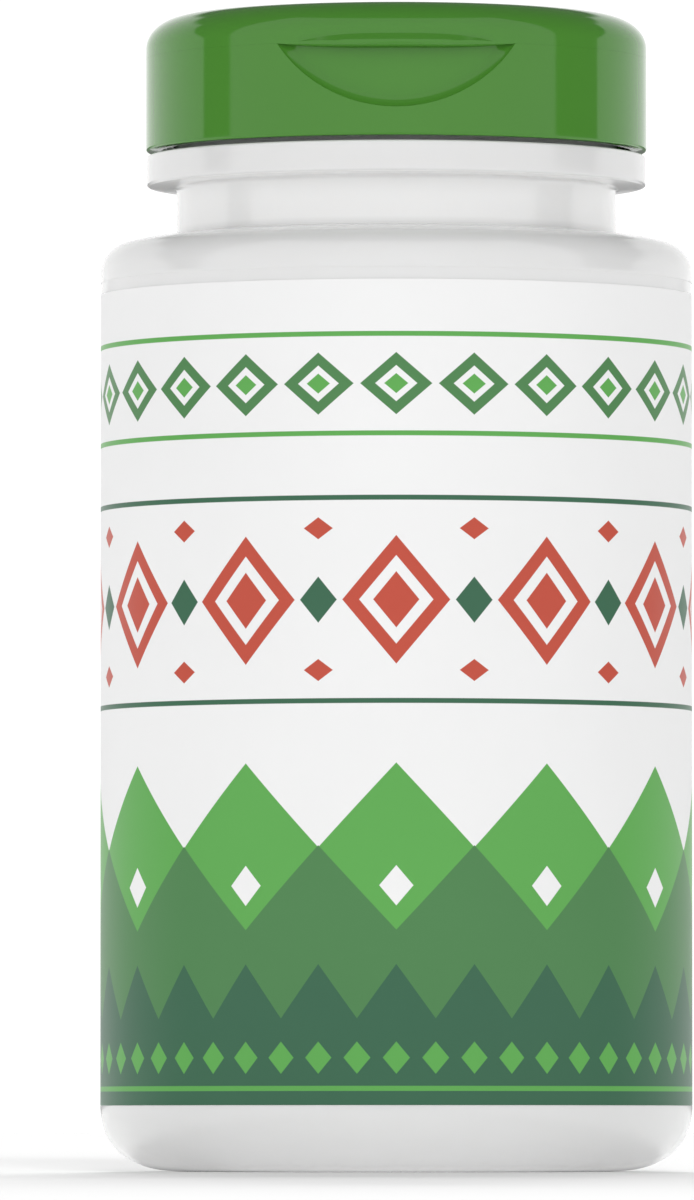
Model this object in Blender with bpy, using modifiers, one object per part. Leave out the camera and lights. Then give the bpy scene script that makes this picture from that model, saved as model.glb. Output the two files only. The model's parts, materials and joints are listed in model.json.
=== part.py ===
"""A capsule bottle with a screw cap and a flip-top lid, standing upright.

Units are metres, +Z is up, and the front, where the thumb notch is, faces -Y. The origin is the
centre of the base, on the surface that the bottle stands on. Every turned piece is a profile of
(radius, height) points that the Screw modifier turns about Z. A profile starts and ends on the
axis or closes on itself, and its outer side runs from top to bottom.
"""

import math

import bmesh
import bpy

MM = 0.001

# Turned shapes
STEPS = 48
ARC_STEPS = 3
CURVE_STEPS = 7
MERGE = 0.01 * MM
FLAT_ANGLE = math.radians(35)

# Bottle body
BODY_RADIUS = 30.0 * MM
WALL = 1.15 * MM
CURVE_POWER = 2.4
CORNER_RUN = 8.0 * MM
HEEL_HEIGHT = 6.6 * MM
SHOULDER_FOOT = 90.5 * MM
SHOULDER_TOP = 95.4 * MM
PANEL_LOW = 6.75 * MM
PANEL_HIGH = 90.25 * MM
PANEL_DEPTH = 0.55 * MM
RIM_FILLET = 0.3 * MM

# Base
BASE_RING_INNER = 18.0 * MM
PUSH_UP_RADIUS = 14.0 * MM
PUSH_UP_HEIGHT = 1.8 * MM
PUSH_UP_DROP = 0.3 * MM

# Neck, flange and threaded finish
NECK_RADIUS = 22.1 * MM
COLLAR_RADIUS = 22.5 * MM
COLLAR_LOW = 99.0 * MM
FLANGE_RADIUS = 25.25 * MM
FLANGE_LOW = 100.1 * MM
FLANGE_HIGH = 103.0 * MM
FLANGE_ROUND = 0.5 * MM
FINISH_RADIUS = 22.4 * MM
FINISH_TOP = 111.0 * MM
MOUTH_RADIUS = 20.4 * MM

# Screw thread
PITCH = 4.233 * MM
THREAD_DEPTH = 0.9 * MM
THREAD_ROOT_HALF = 1.0 * MM
THREAD_CREST_HALF = 0.5 * MM
THREAD_SUNK = 0.6 * MM
THREAD_FADE = math.radians(24)
BOTTLE_THREAD_TURNS = 1.12
BOTTLE_THREAD_LOW = 104.6 * MM
CAP_THREAD_TURNS = 1.2
CAP_THREAD_LAG = math.radians(150)
CAP_THREAD_DROP = 1.7 * MM

# Label
LABEL_LOW = 7.0 * MM
LABEL_HIGH = 90.0 * MM
LABEL_THICKNESS = 0.25 * MM
LABEL_SEAM = math.radians(4)

# Closure
GAP = 0.3 * MM
CAP_RADIUS = 25.3 * MM
CAP_BORE = 23.65 * MM
CAP_LOW = 103.35 * MM
PARTING = 112.8 * MM
PLATEAU_RADIUS = 23.55 * MM
DECK_TOP = 113.9 * MM
DECK_THICKNESS = 1.4 * MM
DECK_SEAT_RADIUS = 22.3 * MM
HAUNCH = 1.2 * MM
APERTURE_RADIUS = 14.0 * MM
APERTURE_Y = -4.5 * MM
SPOUT_WALL = 1.2 * MM
SPOUT_TOP = 114.9 * MM

# Sealing ring under the deck
SEAL_INNER = 20.2 * MM
SEAL_OUTER = 22.0 * MM
SEAL_THICKNESS = 0.9 * MM

# Thumb notch in the front of the skirt
NOTCH_ARC_RADIUS = 14.7 * MM
NOTCH_LOW = 106.4 * MM
NOTCH_FLOOR_RADIUS = 24.6 * MM

# Flip-top lid
LID_TOP = 117.1 * MM
LID_WALL = 1.3 * MM
LID_ROOF = 1.2 * MM
LID_EDGE_RUN = 3.2 * MM
LID_EDGE_DROP = 2.7 * MM
LIP_HALF_WIDTH = 9.9 * MM
LIP_REACH = 0.45 * MM
LIP_FACE = 0.35 * MM
LIP_SLOPE = 0.65 * MM
PLUG_WALL = 1.05 * MM
PLUG_LOW = 113.2 * MM
PLUG_PLAY = 0.35 * MM

# Living hinge at the back
HINGE_Y = 24.6 * MM
HINGE_LAND_DROP = 3.5 * MM
HINGE_FILM_RADIUS = 0.45 * MM
HINGE_FILM_LENGTH = 10.4 * MM
HINGE_AXIS_POINT = (0.0, HINGE_Y, PARTING)
FILM_SEGMENTS = 16

# Turns that lay an upright cylinder down
ALONG_X = (0.0, math.pi / 2, 0.0)
ALONG_Y = (math.pi / 2, 0.0, 0.0)

WHITE = (0.80, 0.80, 0.80, 1.0)
GREEN = (0.098, 0.254, 0.063, 1.0)
PAPER_WHITE = (0.86, 0.86, 0.86, 1.0)
FOAM = (0.72, 0.71, 0.68, 1.0)


def clear_scene():
    """Removes every object of the open scene."""
    for found in list(bpy.data.objects):
        bpy.data.objects.remove(found, do_unlink=True)


def new_collection(name):
    made = bpy.data.collections.new(name)
    bpy.context.scene.collection.children.link(made)
    return made


def plastic(name, colour, roughness):
    """A plain Principled material."""
    made = bpy.data.materials.new(name)
    made.use_nodes = True
    shader = made.node_tree.nodes["Principled BSDF"]
    shader.inputs["Base Color"].default_value = colour
    shader.inputs["Roughness"].default_value = roughness
    shader.inputs["Metallic"].default_value = 0.0
    made.diffuse_color = colour
    return made


def rounded(corners):
    """Points along an outline of (radius, height, fillet) corners, each fillet a short arc."""
    points = []
    for index, (x, z, fillet) in enumerate(corners):
        if not fillet:
            points.append((x, z))
            continue
        before = corners[index - 1]
        after = corners[(index + 1) % len(corners)]
        back = (before[0] - x, before[1] - z)
        ahead = (after[0] - x, after[1] - z)
        back_length = math.hypot(*back)
        ahead_length = math.hypot(*ahead)
        back = (back[0] / back_length, back[1] / back_length)
        ahead = (ahead[0] / ahead_length, ahead[1] / ahead_length)
        between = math.acos(back[0] * ahead[0] + back[1] * ahead[1])
        tangent = fillet / math.tan(between / 2)
        middle = (back[0] + ahead[0], back[1] + ahead[1])
        middle_length = math.hypot(*middle)
        reach = fillet / math.sin(between / 2) / middle_length
        centre = (x + middle[0] * reach, z + middle[1] * reach)
        start = (x + back[0] * tangent - centre[0], z + back[1] * tangent - centre[1])
        turn = math.pi - between
        if back[0] * ahead[1] - back[1] * ahead[0] > 0:
            turn = -turn
        for step in range(ARC_STEPS + 1):
            angle = turn * step / ARC_STEPS
            points.append((
                centre[0] + start[0] * math.cos(angle) - start[1] * math.sin(angle),
                centre[1] + start[0] * math.sin(angle) + start[1] * math.cos(angle),
            ))
    return points


def corner_curve(centre, run, rise, steps=CURVE_STEPS, power=CURVE_POWER):
    """A squarish quarter curve from above or below its centre out to the full radius.

    run is its width in radius, and rise its height, negative where the curve turns down.
    """
    points = []
    for step in range(steps + 1):
        angle = math.pi / 2 * step / steps
        points.append((
            centre[0] + run * math.sin(angle) ** (2 / power),
            centre[1] + rise * math.cos(angle) ** (2 / power),
        ))
    return points


def outline_object(name, points, closed, collection):
    """An object whose mesh is only the edges of an outline in the XZ plane."""
    mesh = bpy.data.meshes.new(name)
    edges = [(index, index + 1) for index in range(len(points) - 1)]
    if closed:
        edges.append((len(points) - 1, 0))
    mesh.from_pydata([(x, 0.0, z) for x, z in points], edges, [])
    made = bpy.data.objects.new(name, mesh)
    collection.objects.link(made)
    return made


def turned(name, points, collection, closed=False, angle=math.tau):
    """A turned piece: an outline with a Screw modifier about Z."""
    made = outline_object(name, points, closed, collection)
    screw = made.modifiers.new("Turn", "SCREW")
    screw.axis = "Z"
    screw.angle = angle
    screw.steps = STEPS
    screw.render_steps = STEPS
    screw.use_merge_vertices = True
    screw.merge_threshold = MERGE
    screw.use_smooth_shade = True
    return made


def hide_cutter(cutter):
    cutter.hide_render = True
    cutter.display_type = "WIRE"
    return cutter


def cylinder(name, radius, length, location, turn, collection, segments=STEPS):
    """A closed cylinder centred on location, its axis turned from Z by the Euler angles."""
    shape = bmesh.new()
    bmesh.ops.create_cone(
        shape, cap_ends=True, segments=segments, radius1=radius, radius2=radius, depth=length
    )
    mesh = bpy.data.meshes.new(name)
    shape.to_mesh(mesh)
    shape.free()
    made = bpy.data.objects.new(name, mesh)
    made.location = location
    made.rotation_euler = turn
    collection.objects.link(made)
    return made


def upright_cylinder(name, radius, low, high, collection, y=0.0):
    """A closed cylinder between two heights, about a vertical axis at (0, y)."""
    return cylinder(
        name, radius, high - low, (0.0, y, (low + high) / 2), (0.0, 0.0, 0.0), collection
    )


def box(name, low, high, collection):
    """A closed box between two corners."""
    shape = bmesh.new()
    bmesh.ops.create_cube(shape, size=1.0)
    mesh = bpy.data.meshes.new(name)
    shape.to_mesh(mesh)
    shape.free()
    made = bpy.data.objects.new(name, mesh)
    made.scale = [high[axis] - low[axis] for axis in range(3)]
    made.location = [(high[axis] + low[axis]) / 2 for axis in range(3)]
    collection.objects.link(made)
    return made


def joined(target, other, operation):
    """Adds an exact Boolean of the other object to the target."""
    step = target.modifiers.new(f"{operation.title()} {other.name}", "BOOLEAN")
    step.operation = operation
    step.solver = "EXACT"
    step.object = hide_cutter(other)
    return step


def thread_ridge(name, root_radius, outward, low, start, turns, collection):
    """A right-hand thread ridge that fades out at both ends.

    outward is 1 for a thread on the outside of a neck and -1 for one inside a cap. The section is
    a trapezoid on a root sunk into the wall, lofted along the helix because its depth changes.
    """
    steps = round(STEPS * turns)
    shape = bmesh.new()
    rings = []
    for step in range(steps + 1):
        angle = turns * math.tau * step / steps
        fade = min(1.0, angle / THREAD_FADE, (turns * math.tau - angle) / THREAD_FADE)
        depth = THREAD_DEPTH * fade - THREAD_SUNK / 4 * (1 - fade)
        height = low + PITCH * angle / math.tau
        section = (
            (root_radius - outward * THREAD_SUNK, height - THREAD_ROOT_HALF),
            (root_radius, height - THREAD_ROOT_HALF),
            (root_radius + outward * depth, height - THREAD_CREST_HALF),
            (root_radius + outward * depth, height + THREAD_CREST_HALF),
            (root_radius, height + THREAD_ROOT_HALF),
            (root_radius - outward * THREAD_SUNK, height + THREAD_ROOT_HALF),
        )
        cosine = math.cos(start + angle)
        sine = math.sin(start + angle)
        rings.append([shape.verts.new((r * cosine, r * sine, z)) for r, z in section])
    for ring, following in zip(rings, rings[1:]):
        for index in range(len(ring)):
            beside = (index + 1) % len(ring)
            shape.faces.new((ring[index], following[index], following[beside], ring[beside]))
    shape.faces.new(rings[0])
    shape.faces.new(rings[-1])
    bmesh.ops.recalc_face_normals(shape, faces=shape.faces)
    mesh = bpy.data.meshes.new(name)
    shape.to_mesh(mesh)
    shape.free()
    made = bpy.data.objects.new(name, mesh)
    collection.objects.link(made)
    return made


def bottle_outline():
    """The bottle's outline: up the inside from the floor, over the mouth and down the outside."""
    inner_radius = BODY_RADIUS - PANEL_DEPTH - WALL
    base_ring = BODY_RADIUS - CORNER_RUN
    floor = rounded([
        (0.0, PUSH_UP_HEIGHT + WALL, 0.0),
        (PUSH_UP_RADIUS, PUSH_UP_HEIGHT - PUSH_UP_DROP + WALL, 0.0),
        (BASE_RING_INNER + WALL / 2, WALL, 0.0),
    ])
    inner_heel = corner_curve(
        (base_ring, HEEL_HEIGHT), inner_radius - base_ring, WALL - HEEL_HEIGHT
    )
    inner_shoulder = corner_curve(
        (NECK_RADIUS, SHOULDER_FOOT - WALL / 2), inner_radius - NECK_RADIUS,
        SHOULDER_TOP - WALL - SHOULDER_FOOT + WALL / 2,
    )
    neck = rounded([
        (NECK_RADIUS, SHOULDER_TOP - WALL, 0.0),
        (MOUTH_RADIUS, SHOULDER_TOP - WALL, RIM_FILLET),
        (MOUTH_RADIUS, FINISH_TOP, RIM_FILLET),
        (FINISH_RADIUS, FINISH_TOP, RIM_FILLET),
        (FINISH_RADIUS, FLANGE_HIGH, RIM_FILLET),
        (FLANGE_RADIUS, FLANGE_HIGH, FLANGE_ROUND),
        (FLANGE_RADIUS, FLANGE_LOW, FLANGE_ROUND),
        (COLLAR_RADIUS, FLANGE_LOW, 0.0),
        (COLLAR_RADIUS, COLLAR_LOW, 0.0),
        (NECK_RADIUS, COLLAR_LOW - RIM_FILLET, 0.0),
        (NECK_RADIUS, SHOULDER_TOP, 0.0),
    ])
    outer_shoulder = corner_curve(
        (BODY_RADIUS - CORNER_RUN, SHOULDER_FOOT), CORNER_RUN, SHOULDER_TOP - SHOULDER_FOOT
    )
    panel = [
        (BODY_RADIUS, PANEL_HIGH),
        (BODY_RADIUS - PANEL_DEPTH, PANEL_HIGH),
        (BODY_RADIUS - PANEL_DEPTH, PANEL_LOW),
        (BODY_RADIUS, PANEL_LOW),
    ]
    outer_heel = corner_curve((base_ring, HEEL_HEIGHT), CORNER_RUN, -HEEL_HEIGHT)
    push_up = [
        (BASE_RING_INNER, 0.0),
        (PUSH_UP_RADIUS, PUSH_UP_HEIGHT - PUSH_UP_DROP),
        (0.0, PUSH_UP_HEIGHT),
    ]
    return (
        floor + inner_heel + list(reversed(inner_shoulder))[:-1] + neck[1:]
        + outer_shoulder[1:] + panel + list(reversed(outer_heel)) + push_up
    )


def build_bottle(collection, cutters):
    """The blown bottle: body, shoulder, neck, flange and threaded finish in one piece."""
    bottle = turned("bottle", bottle_outline(), collection)
    ridge = thread_ridge(
        "bottle_thread", FINISH_RADIUS, 1, BOTTLE_THREAD_LOW, 0.0, BOTTLE_THREAD_TURNS, cutters
    )
    joined(bottle, ridge, "UNION")
    return bottle


def build_label(collection):
    """The wrap label: a thin band round the recessed panel, with its seam at the back."""
    outer = BODY_RADIUS
    label = turned(
        "label", [(outer, LABEL_HIGH), (outer, LABEL_LOW)], collection,
        angle=math.tau - LABEL_SEAM,
    )
    label.rotation_euler = (0.0, 0.0, math.pi / 2 + LABEL_SEAM / 2)
    thickness = label.modifiers.new("Thickness", "SOLIDIFY")
    thickness.thickness = LABEL_THICKNESS
    thickness.offset = -1.0
    return label


def build_seal(collection):
    """The foam sealing ring between the cap's deck and the bottle's mouth."""
    low = FINISH_TOP + GAP
    high = low + SEAL_THICKNESS
    return turned(
        "sealing_ring",
        [(SEAL_INNER, high), (SEAL_OUTER, high), (SEAL_OUTER, low), (SEAL_INNER, low)],
        collection, closed=True,
    )


def hinge_land_cutter(name, low, high, cutters):
    """A box that cuts the flat land of the living hinge off the back."""
    return box(
        name, (-CAP_RADIUS, HINGE_Y, low), (CAP_RADIUS, CAP_RADIUS + MM, high), cutters
    )


def hinge_groove_cutter(name, cutters):
    """A lying cylinder that clears the hinge film on both sides of the parting line."""
    return cylinder(
        name, HINGE_FILM_RADIUS + GAP, HINGE_FILM_LENGTH + 2 * GAP, HINGE_AXIS_POINT, ALONG_X,
        cutters, FILM_SEGMENTS,
    )


def build_cap(collection, cutters):
    """The screw cap: skirt, deck with its dispensing aperture and spout rim, thread and notch."""
    ledge = PARTING - GAP / 2
    deck_low = DECK_TOP - DECK_THICKNESS
    outline = rounded([
        (0.0, DECK_TOP, 0.0),
        (PLATEAU_RADIUS, DECK_TOP, RIM_FILLET),
        (PLATEAU_RADIUS, ledge, 0.0),
        (CAP_RADIUS, ledge, 0.0),
        (CAP_RADIUS, CAP_LOW, RIM_FILLET),
        (CAP_BORE, CAP_LOW, RIM_FILLET),
        (CAP_BORE, deck_low - HAUNCH, 0.0),
        (DECK_SEAT_RADIUS, deck_low, 0.0),
        (0.0, deck_low, 0.0),
    ])
    cap = turned("cap", outline, collection)
    spout = upright_cylinder(
        "spout_rim", APERTURE_RADIUS + SPOUT_WALL, deck_low + DECK_THICKNESS / 2, SPOUT_TOP,
        cutters, y=APERTURE_Y,
    )
    joined(cap, spout, "UNION")
    aperture = upright_cylinder(
        "aperture", APERTURE_RADIUS, deck_low - MM, SPOUT_TOP + MM, cutters, y=APERTURE_Y
    )
    joined(cap, aperture, "DIFFERENCE")
    ridge = thread_ridge(
        "cap_thread", CAP_BORE, -1,
        BOTTLE_THREAD_LOW + PITCH * CAP_THREAD_LAG / math.tau - CAP_THREAD_DROP,
        CAP_THREAD_LAG, CAP_THREAD_TURNS, cutters,
    )
    joined(cap, ridge, "UNION")
    joined(cap, notch_cutter(cutters), "DIFFERENCE")
    land = hinge_land_cutter("cap_hinge_land", PARTING - HINGE_LAND_DROP, PARTING + MM, cutters)
    joined(cap, land, "DIFFERENCE")
    joined(cap, hinge_groove_cutter("cap_hinge_groove", cutters), "DIFFERENCE")
    return cap


def notch_cutter(cutters):
    """The thumb notch: a circular segment, sunk to a floor that follows the skirt."""
    centre = NOTCH_LOW + NOTCH_ARC_RADIUS
    segment = cylinder(
        "thumb_notch", NOTCH_ARC_RADIUS, CAP_RADIUS, (0.0, -CAP_RADIUS, centre), ALONG_Y, cutters,
        2 * STEPS,
    )
    core = upright_cylinder(
        "notch_floor", NOTCH_FLOOR_RADIUS, NOTCH_LOW - MM, NOTCH_LOW + 3 * NOTCH_ARC_RADIUS,
        cutters,
    )
    joined(segment, core, "DIFFERENCE")
    return segment


def build_lid(collection, cutters):
    """The flip-top lid: roof, wall, thumb lip and the plug ring that closes the aperture."""
    low = PARTING + GAP / 2
    bore = CAP_RADIUS - LID_WALL
    roof_low = LID_TOP - LID_ROOF
    edge = corner_curve(
        (CAP_RADIUS - LID_EDGE_RUN, LID_TOP - LID_EDGE_DROP), LID_EDGE_RUN, LID_EDGE_DROP,
        steps=5, power=2.0,
    )
    inside = rounded([
        (CAP_RADIUS, low, 0.0),
        (bore, low, 0.0),
        (bore, roof_low, 3 * RIM_FILLET),
        (0.0, roof_low, 0.0),
    ])
    lid = turned("lid", [(0.0, LID_TOP)] + edge + inside, collection)
    lid_plug = turned(
        "plug_ring",
        [
            (APERTURE_RADIUS - PLUG_PLAY - PLUG_WALL, roof_low + LID_ROOF / 2),
            (APERTURE_RADIUS - PLUG_PLAY, roof_low + LID_ROOF / 2),
            (APERTURE_RADIUS - PLUG_PLAY, PLUG_LOW),
            (APERTURE_RADIUS - PLUG_PLAY - PLUG_WALL, PLUG_LOW),
        ],
        cutters, closed=True,
    )
    lid_plug.location = (0.0, APERTURE_Y, 0.0)
    joined(lid, lid_plug, "UNION")
    joined(lid, lip_crescent(low, cutters), "UNION")
    land = hinge_land_cutter("lid_hinge_land", low - MM, LID_TOP + MM, cutters)
    joined(lid, land, "DIFFERENCE")
    joined(lid, hinge_groove_cutter("lid_hinge_groove", cutters), "DIFFERENCE")
    return lid


def lip_crescent(low, cutters):
    """The thumb lip: a slim crescent that stands out over the notch, sloped on top."""
    chord_y = math.sqrt(CAP_RADIUS ** 2 - LIP_HALF_WIDTH ** 2)
    rise = CAP_RADIUS + LIP_REACH - chord_y
    radius = (LIP_HALF_WIDTH ** 2 + rise ** 2) / (2 * rise)
    face_top = low + LIP_FACE
    slope_top = face_top + LIP_SLOPE
    lip = turned(
        "thumb_lip",
        [
            (0.0, slope_top),
            (radius - LIP_REACH, slope_top),
            (radius, face_top),
            (radius, low),
            (0.0, low),
        ],
        cutters,
    )
    lip.location = (0.0, radius - CAP_RADIUS - LIP_REACH, 0.0)
    core = upright_cylinder(
        "lip_core", CAP_RADIUS - LID_WALL / 2, low - MM, slope_top + MM, cutters
    )
    joined(lip, core, "DIFFERENCE")
    return lip


def build_hinge(collection):
    """The living hinge's film, gathered round the joint's axis at the parting line."""
    film = cylinder(
        "hinge_film", HINGE_FILM_RADIUS, HINGE_FILM_LENGTH, HINGE_AXIS_POINT, ALONG_X, collection,
        FILM_SEGMENTS,
    )
    film.data.shade_smooth()
    film.data.set_sharp_from_angle(angle=FLAT_ANGLE)
    return film


def main():
    clear_scene()
    pieces = new_collection("capsule_bottle")
    cutters = new_collection("cutters")
    white = plastic("white_plastic", WHITE, 0.3)
    green = plastic("green_plastic", GREEN, 0.3)
    made = {
        build_bottle(pieces, cutters): white,
        build_label(pieces): plastic("label_film", PAPER_WHITE, 0.45),
        build_seal(pieces): plastic("seal_foam", FOAM, 0.8),
        build_cap(pieces, cutters): green,
        build_lid(pieces, cutters): plastic("lid_plastic", GREEN, 0.3),
        build_hinge(pieces): plastic("hinge_plastic", GREEN, 0.35),
    }
    for piece, material in made.items():
        piece.data.materials.append(material)


main()
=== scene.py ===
"""Looks of a white capsule bottle with a green flip-top screw cap and a printed wrap label.

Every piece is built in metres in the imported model's own frame: +Z up, the front facing -Y and the
bottle's axis on Z. Turned pieces are skins of rings, whose vertices a warp then moves to raise a
thread, sink the thumb notch, draw out the thumb lip or flatten the hinge's land.
"""

import json
import logging
import math
from collections.abc import Callable, Iterable, Sequence
from dataclasses import dataclass, field, replace
from enum import Enum

import bmesh
import bpy
from mathutils import Matrix, Vector

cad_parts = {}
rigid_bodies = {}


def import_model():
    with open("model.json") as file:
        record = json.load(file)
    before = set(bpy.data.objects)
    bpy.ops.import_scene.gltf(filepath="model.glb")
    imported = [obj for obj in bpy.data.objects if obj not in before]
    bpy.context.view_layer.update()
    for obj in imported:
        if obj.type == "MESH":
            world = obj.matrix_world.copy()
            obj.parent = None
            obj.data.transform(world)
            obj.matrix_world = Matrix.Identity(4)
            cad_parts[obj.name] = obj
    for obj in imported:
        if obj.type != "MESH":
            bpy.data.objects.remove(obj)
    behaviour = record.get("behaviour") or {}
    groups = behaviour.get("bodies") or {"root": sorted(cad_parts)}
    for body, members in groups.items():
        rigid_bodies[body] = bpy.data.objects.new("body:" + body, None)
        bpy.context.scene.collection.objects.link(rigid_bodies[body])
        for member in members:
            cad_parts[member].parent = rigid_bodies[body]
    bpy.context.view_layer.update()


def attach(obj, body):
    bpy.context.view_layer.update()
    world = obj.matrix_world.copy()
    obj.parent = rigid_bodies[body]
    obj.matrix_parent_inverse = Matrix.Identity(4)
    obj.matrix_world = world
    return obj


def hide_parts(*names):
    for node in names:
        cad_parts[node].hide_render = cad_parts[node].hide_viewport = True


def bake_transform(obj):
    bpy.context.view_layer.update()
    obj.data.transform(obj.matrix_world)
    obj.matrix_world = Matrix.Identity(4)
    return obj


LOG = logging.getLogger("capsule_bottle")
MM = 0.001
MERGE = 0.0005 * MM  # vertices closer than this become one
OVERLAP = 1.0001  # an even column this near a stretch of closer ones gives way to it
PITCH = 4.233 * MM  # rise of the screw thread in one turn
SHARP = math.radians(50)  # edges that turn by more stay sharp
FRONT = -math.pi / 2
BACK = math.pi / 2

Pair = tuple[float, float]
Triple = tuple[float, float, float]
Socket = bpy.types.NodeSocket


class Zone(Enum):
    """The stretch of a skin that a ring belongs to, so that a warp knows what to do with it."""

    PLAIN = "plain"
    SHELL = "shell"
    THREAD = "thread"
    WALL_ABOVE = "wall above the notch's edge"
    WALL_BELOW = "wall below the notch's edge"
    LID_SIDE = "lid side"
    LIP_SLOPE = "slope on top of the lip"
    LIP_FACE = "face of the lip"
    LIP_EDGE = "rounded lower edge of the lip"
    SNAP = "snap bead"


class ThreadSide(Enum):
    """Which way a thread stands out of its wall."""

    OUTWARD = 1
    INWARD = -1


@dataclass(frozen=True)
class Ring:
    """One ring of a turned skin.

    Attributes:
        radius: Its radius before any warp.
        height: Its height before any warp.
        shift: How far its centre stands off the axis, along Y.
        zone: The stretch that it belongs to.
    """

    radius: float
    height: float
    shift: float = 0.0
    zone: Zone = Zone.PLAIN


@dataclass(frozen=True)
class Corner:
    """A corner of a turned outline, with the stretch that leaves it.

    Attributes:
        radius: Distance from the axis.
        height: Height above the ground.
        fillet: Radius of the corner's rounding.
        shift: How far the ring's centre stands off the axis, along Y.
        zone: Zone of the corner and of the stretch that leaves it.
        steps: How many steps the stretch to the next corner is divided into.
    """

    radius: float
    height: float
    fillet: float = 0.0
    shift: float = 0.0
    zone: Zone = Zone.PLAIN
    steps: int = 1


def smooth(value: float) -> float:
    """Eases a value from 0 to 1 with level ends."""
    value = min(1.0, max(0.0, value))
    return value * value * (3.0 - 2.0 * value)


def between(first: float, last: float, share: float) -> float:
    """The value a given share of the way from first to last."""
    return first + (last - first) * share


def corner_arc(before: Corner, corner: Corner, after: Corner, steps: int) -> list[Ring]:
    """Rounds one corner of an outline.

    Args:
        before: The corner before it.
        corner: The corner to round.
        after: The corner after it.
        steps: Steps in the arc.

    Returns:
        The rings along the arc.
    """
    point = Vector((corner.radius, corner.height))
    back = (Vector((before.radius, before.height)) - point).normalized()
    ahead = (Vector((after.radius, after.height)) - point).normalized()
    half = back.angle(ahead) / 2
    centre = point + (back + ahead).normalized() * (corner.fillet / math.sin(half))
    start = point + back * (corner.fillet / math.tan(half)) - centre
    turn = math.pi - 2 * half
    if back.x * ahead.y - back.y * ahead.x > 0:
        turn = -turn
    rings = []
    for step in range(steps + 1):
        angle = turn * step / steps
        rings.append(Ring(
            centre.x + start.x * math.cos(angle) - start.y * math.sin(angle),
            centre.y + start.x * math.sin(angle) + start.y * math.cos(angle),
            corner.shift, corner.zone,
        ))
    return rings


def outline(corners: Sequence[Corner], closed: bool, arc_steps: int = 6) -> list[Ring]:
    """Turns corners into rings, with round corners and divided stretches.

    Args:
        corners: The outline's corners in order.
        closed: Whether the last corner leads back to the first.
        arc_steps: Steps in each rounded corner.

    Returns:
        The rings in order.
    """
    arcs = []
    for index, corner in enumerate(corners):
        if corner.fillet:
            after = corners[(index + 1) % len(corners)]
            arcs.append(corner_arc(corners[index - 1], corner, after, arc_steps))
        else:
            arcs.append([Ring(corner.radius, corner.height, corner.shift, corner.zone)])
    rings = []
    for index, corner in enumerate(corners):
        rings.extend(arcs[index])
        last = index == len(corners) - 1
        if last and not closed:
            break
        start = arcs[index][-1]
        end = arcs[(index + 1) % len(corners)][0]
        for step in range(1, corner.steps):
            share = step / corner.steps
            rings.append(Ring(
                between(start.radius, end.radius, share),
                between(start.height, end.height, share),
                between(start.shift, end.shift, share),
                corner.zone,
            ))
    return rings


def squarish(
    centre: Pair, run: float, rise: float, steps: int, power: float = 2.4, zone: Zone = Zone.SHELL
) -> list[Ring]:
    """A squarish quarter curve that runs out to its full radius.

    Args:
        centre: Its centre, as radius and height.
        run: Its width in radius.
        rise: Its height, negative where the curve turns down.
        steps: Steps along it.
        power: Its squareness, 2 for a plain ellipse.
        zone: Zone of its rings.

    Returns:
        Its rings, from the one nearest the axis to the one at full radius.
    """
    rings = []
    for step in range(steps + 1):
        angle = math.pi / 2 * step / steps
        rings.append(Ring(
            centre[0] + run * math.sin(angle) ** (2 / power),
            centre[1] + rise * math.cos(angle) ** (2 / power),
            zone=zone,
        ))
    return rings


def column_angles(count: int, dense: Iterable[tuple[float, float, int]] = ()) -> list[float]:
    """Angles of a skin's columns: even ones all round, and closer ones where detail needs them.

    Args:
        count: Even columns in a full turn, starting at the front.
        dense: Stretches of closer columns, each as a centre, a half width and a number of steps.

    Returns:
        The angles in order, within one turn.
    """
    stretches = list(dense)
    angles = []
    for index in range(count):
        angle = FRONT + math.tau * index / count
        if all(apart(angle, centre) > half * OVERLAP for centre, half, _ in stretches):
            angles.append(angle % math.tau)
    for centre, half, steps in stretches:
        first = centre - half
        angles.extend((first + 2 * half * step / steps) % math.tau for step in range(steps + 1))
    return sorted(set(round(angle, 9) for angle in angles))


def apart(first: float, second: float) -> float:
    """The angle between two directions, never more than half a turn."""
    return abs((first - second + math.pi) % math.tau - math.pi)


def placed(name: str, data: bpy.types.ID) -> bpy.types.Object:
    """Makes an object and links it to the scene.

    Args:
        name: Its name.
        data: Its mesh, camera or light.

    Returns:
        The object.
    """
    made = bpy.data.objects.new(name, data)
    bpy.context.scene.collection.objects.link(made)
    return made


def baked(piece: bpy.types.Object, modifier: bpy.types.Modifier, sharp: float) -> bpy.types.Mesh:
    """Turns what a modifier makes into a plain smooth mesh, and removes the modifier.

    Args:
        piece: The object that carries the modifier.
        modifier: The modifier.
        sharp: Edges that turn by more than this angle stay sharp.

    Returns:
        The new mesh, which the piece then uses.
    """
    graph = bpy.context.evaluated_depsgraph_get()
    mesh = bpy.data.meshes.new_from_object(piece.evaluated_get(graph))
    piece.modifiers.remove(modifier)
    mesh.shade_smooth()
    mesh.set_sharp_from_angle(angle=sharp)
    piece.data = mesh
    return mesh


def finished_mesh(name: str, shape: bmesh.types.BMesh, sharp: float) -> bpy.types.Object:
    """Makes an object of a bmesh with merged doubles, outward faces and smooth shading.

    Args:
        name: The object's name.
        shape: The bmesh, which is freed.
        sharp: Edges that turn by more than this angle stay sharp.

    Returns:
        The new object, linked to the scene.
    """
    bmesh.ops.remove_doubles(shape, verts=shape.verts, dist=MERGE)
    bmesh.ops.dissolve_degenerate(shape, edges=shape.edges, dist=MERGE)
    bmesh.ops.recalc_face_normals(shape, faces=shape.faces)
    mesh = bpy.data.meshes.new(name)
    shape.to_mesh(mesh)
    shape.free()
    mesh.shade_smooth()
    mesh.set_sharp_from_angle(angle=sharp)
    return placed(name, mesh)


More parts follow.
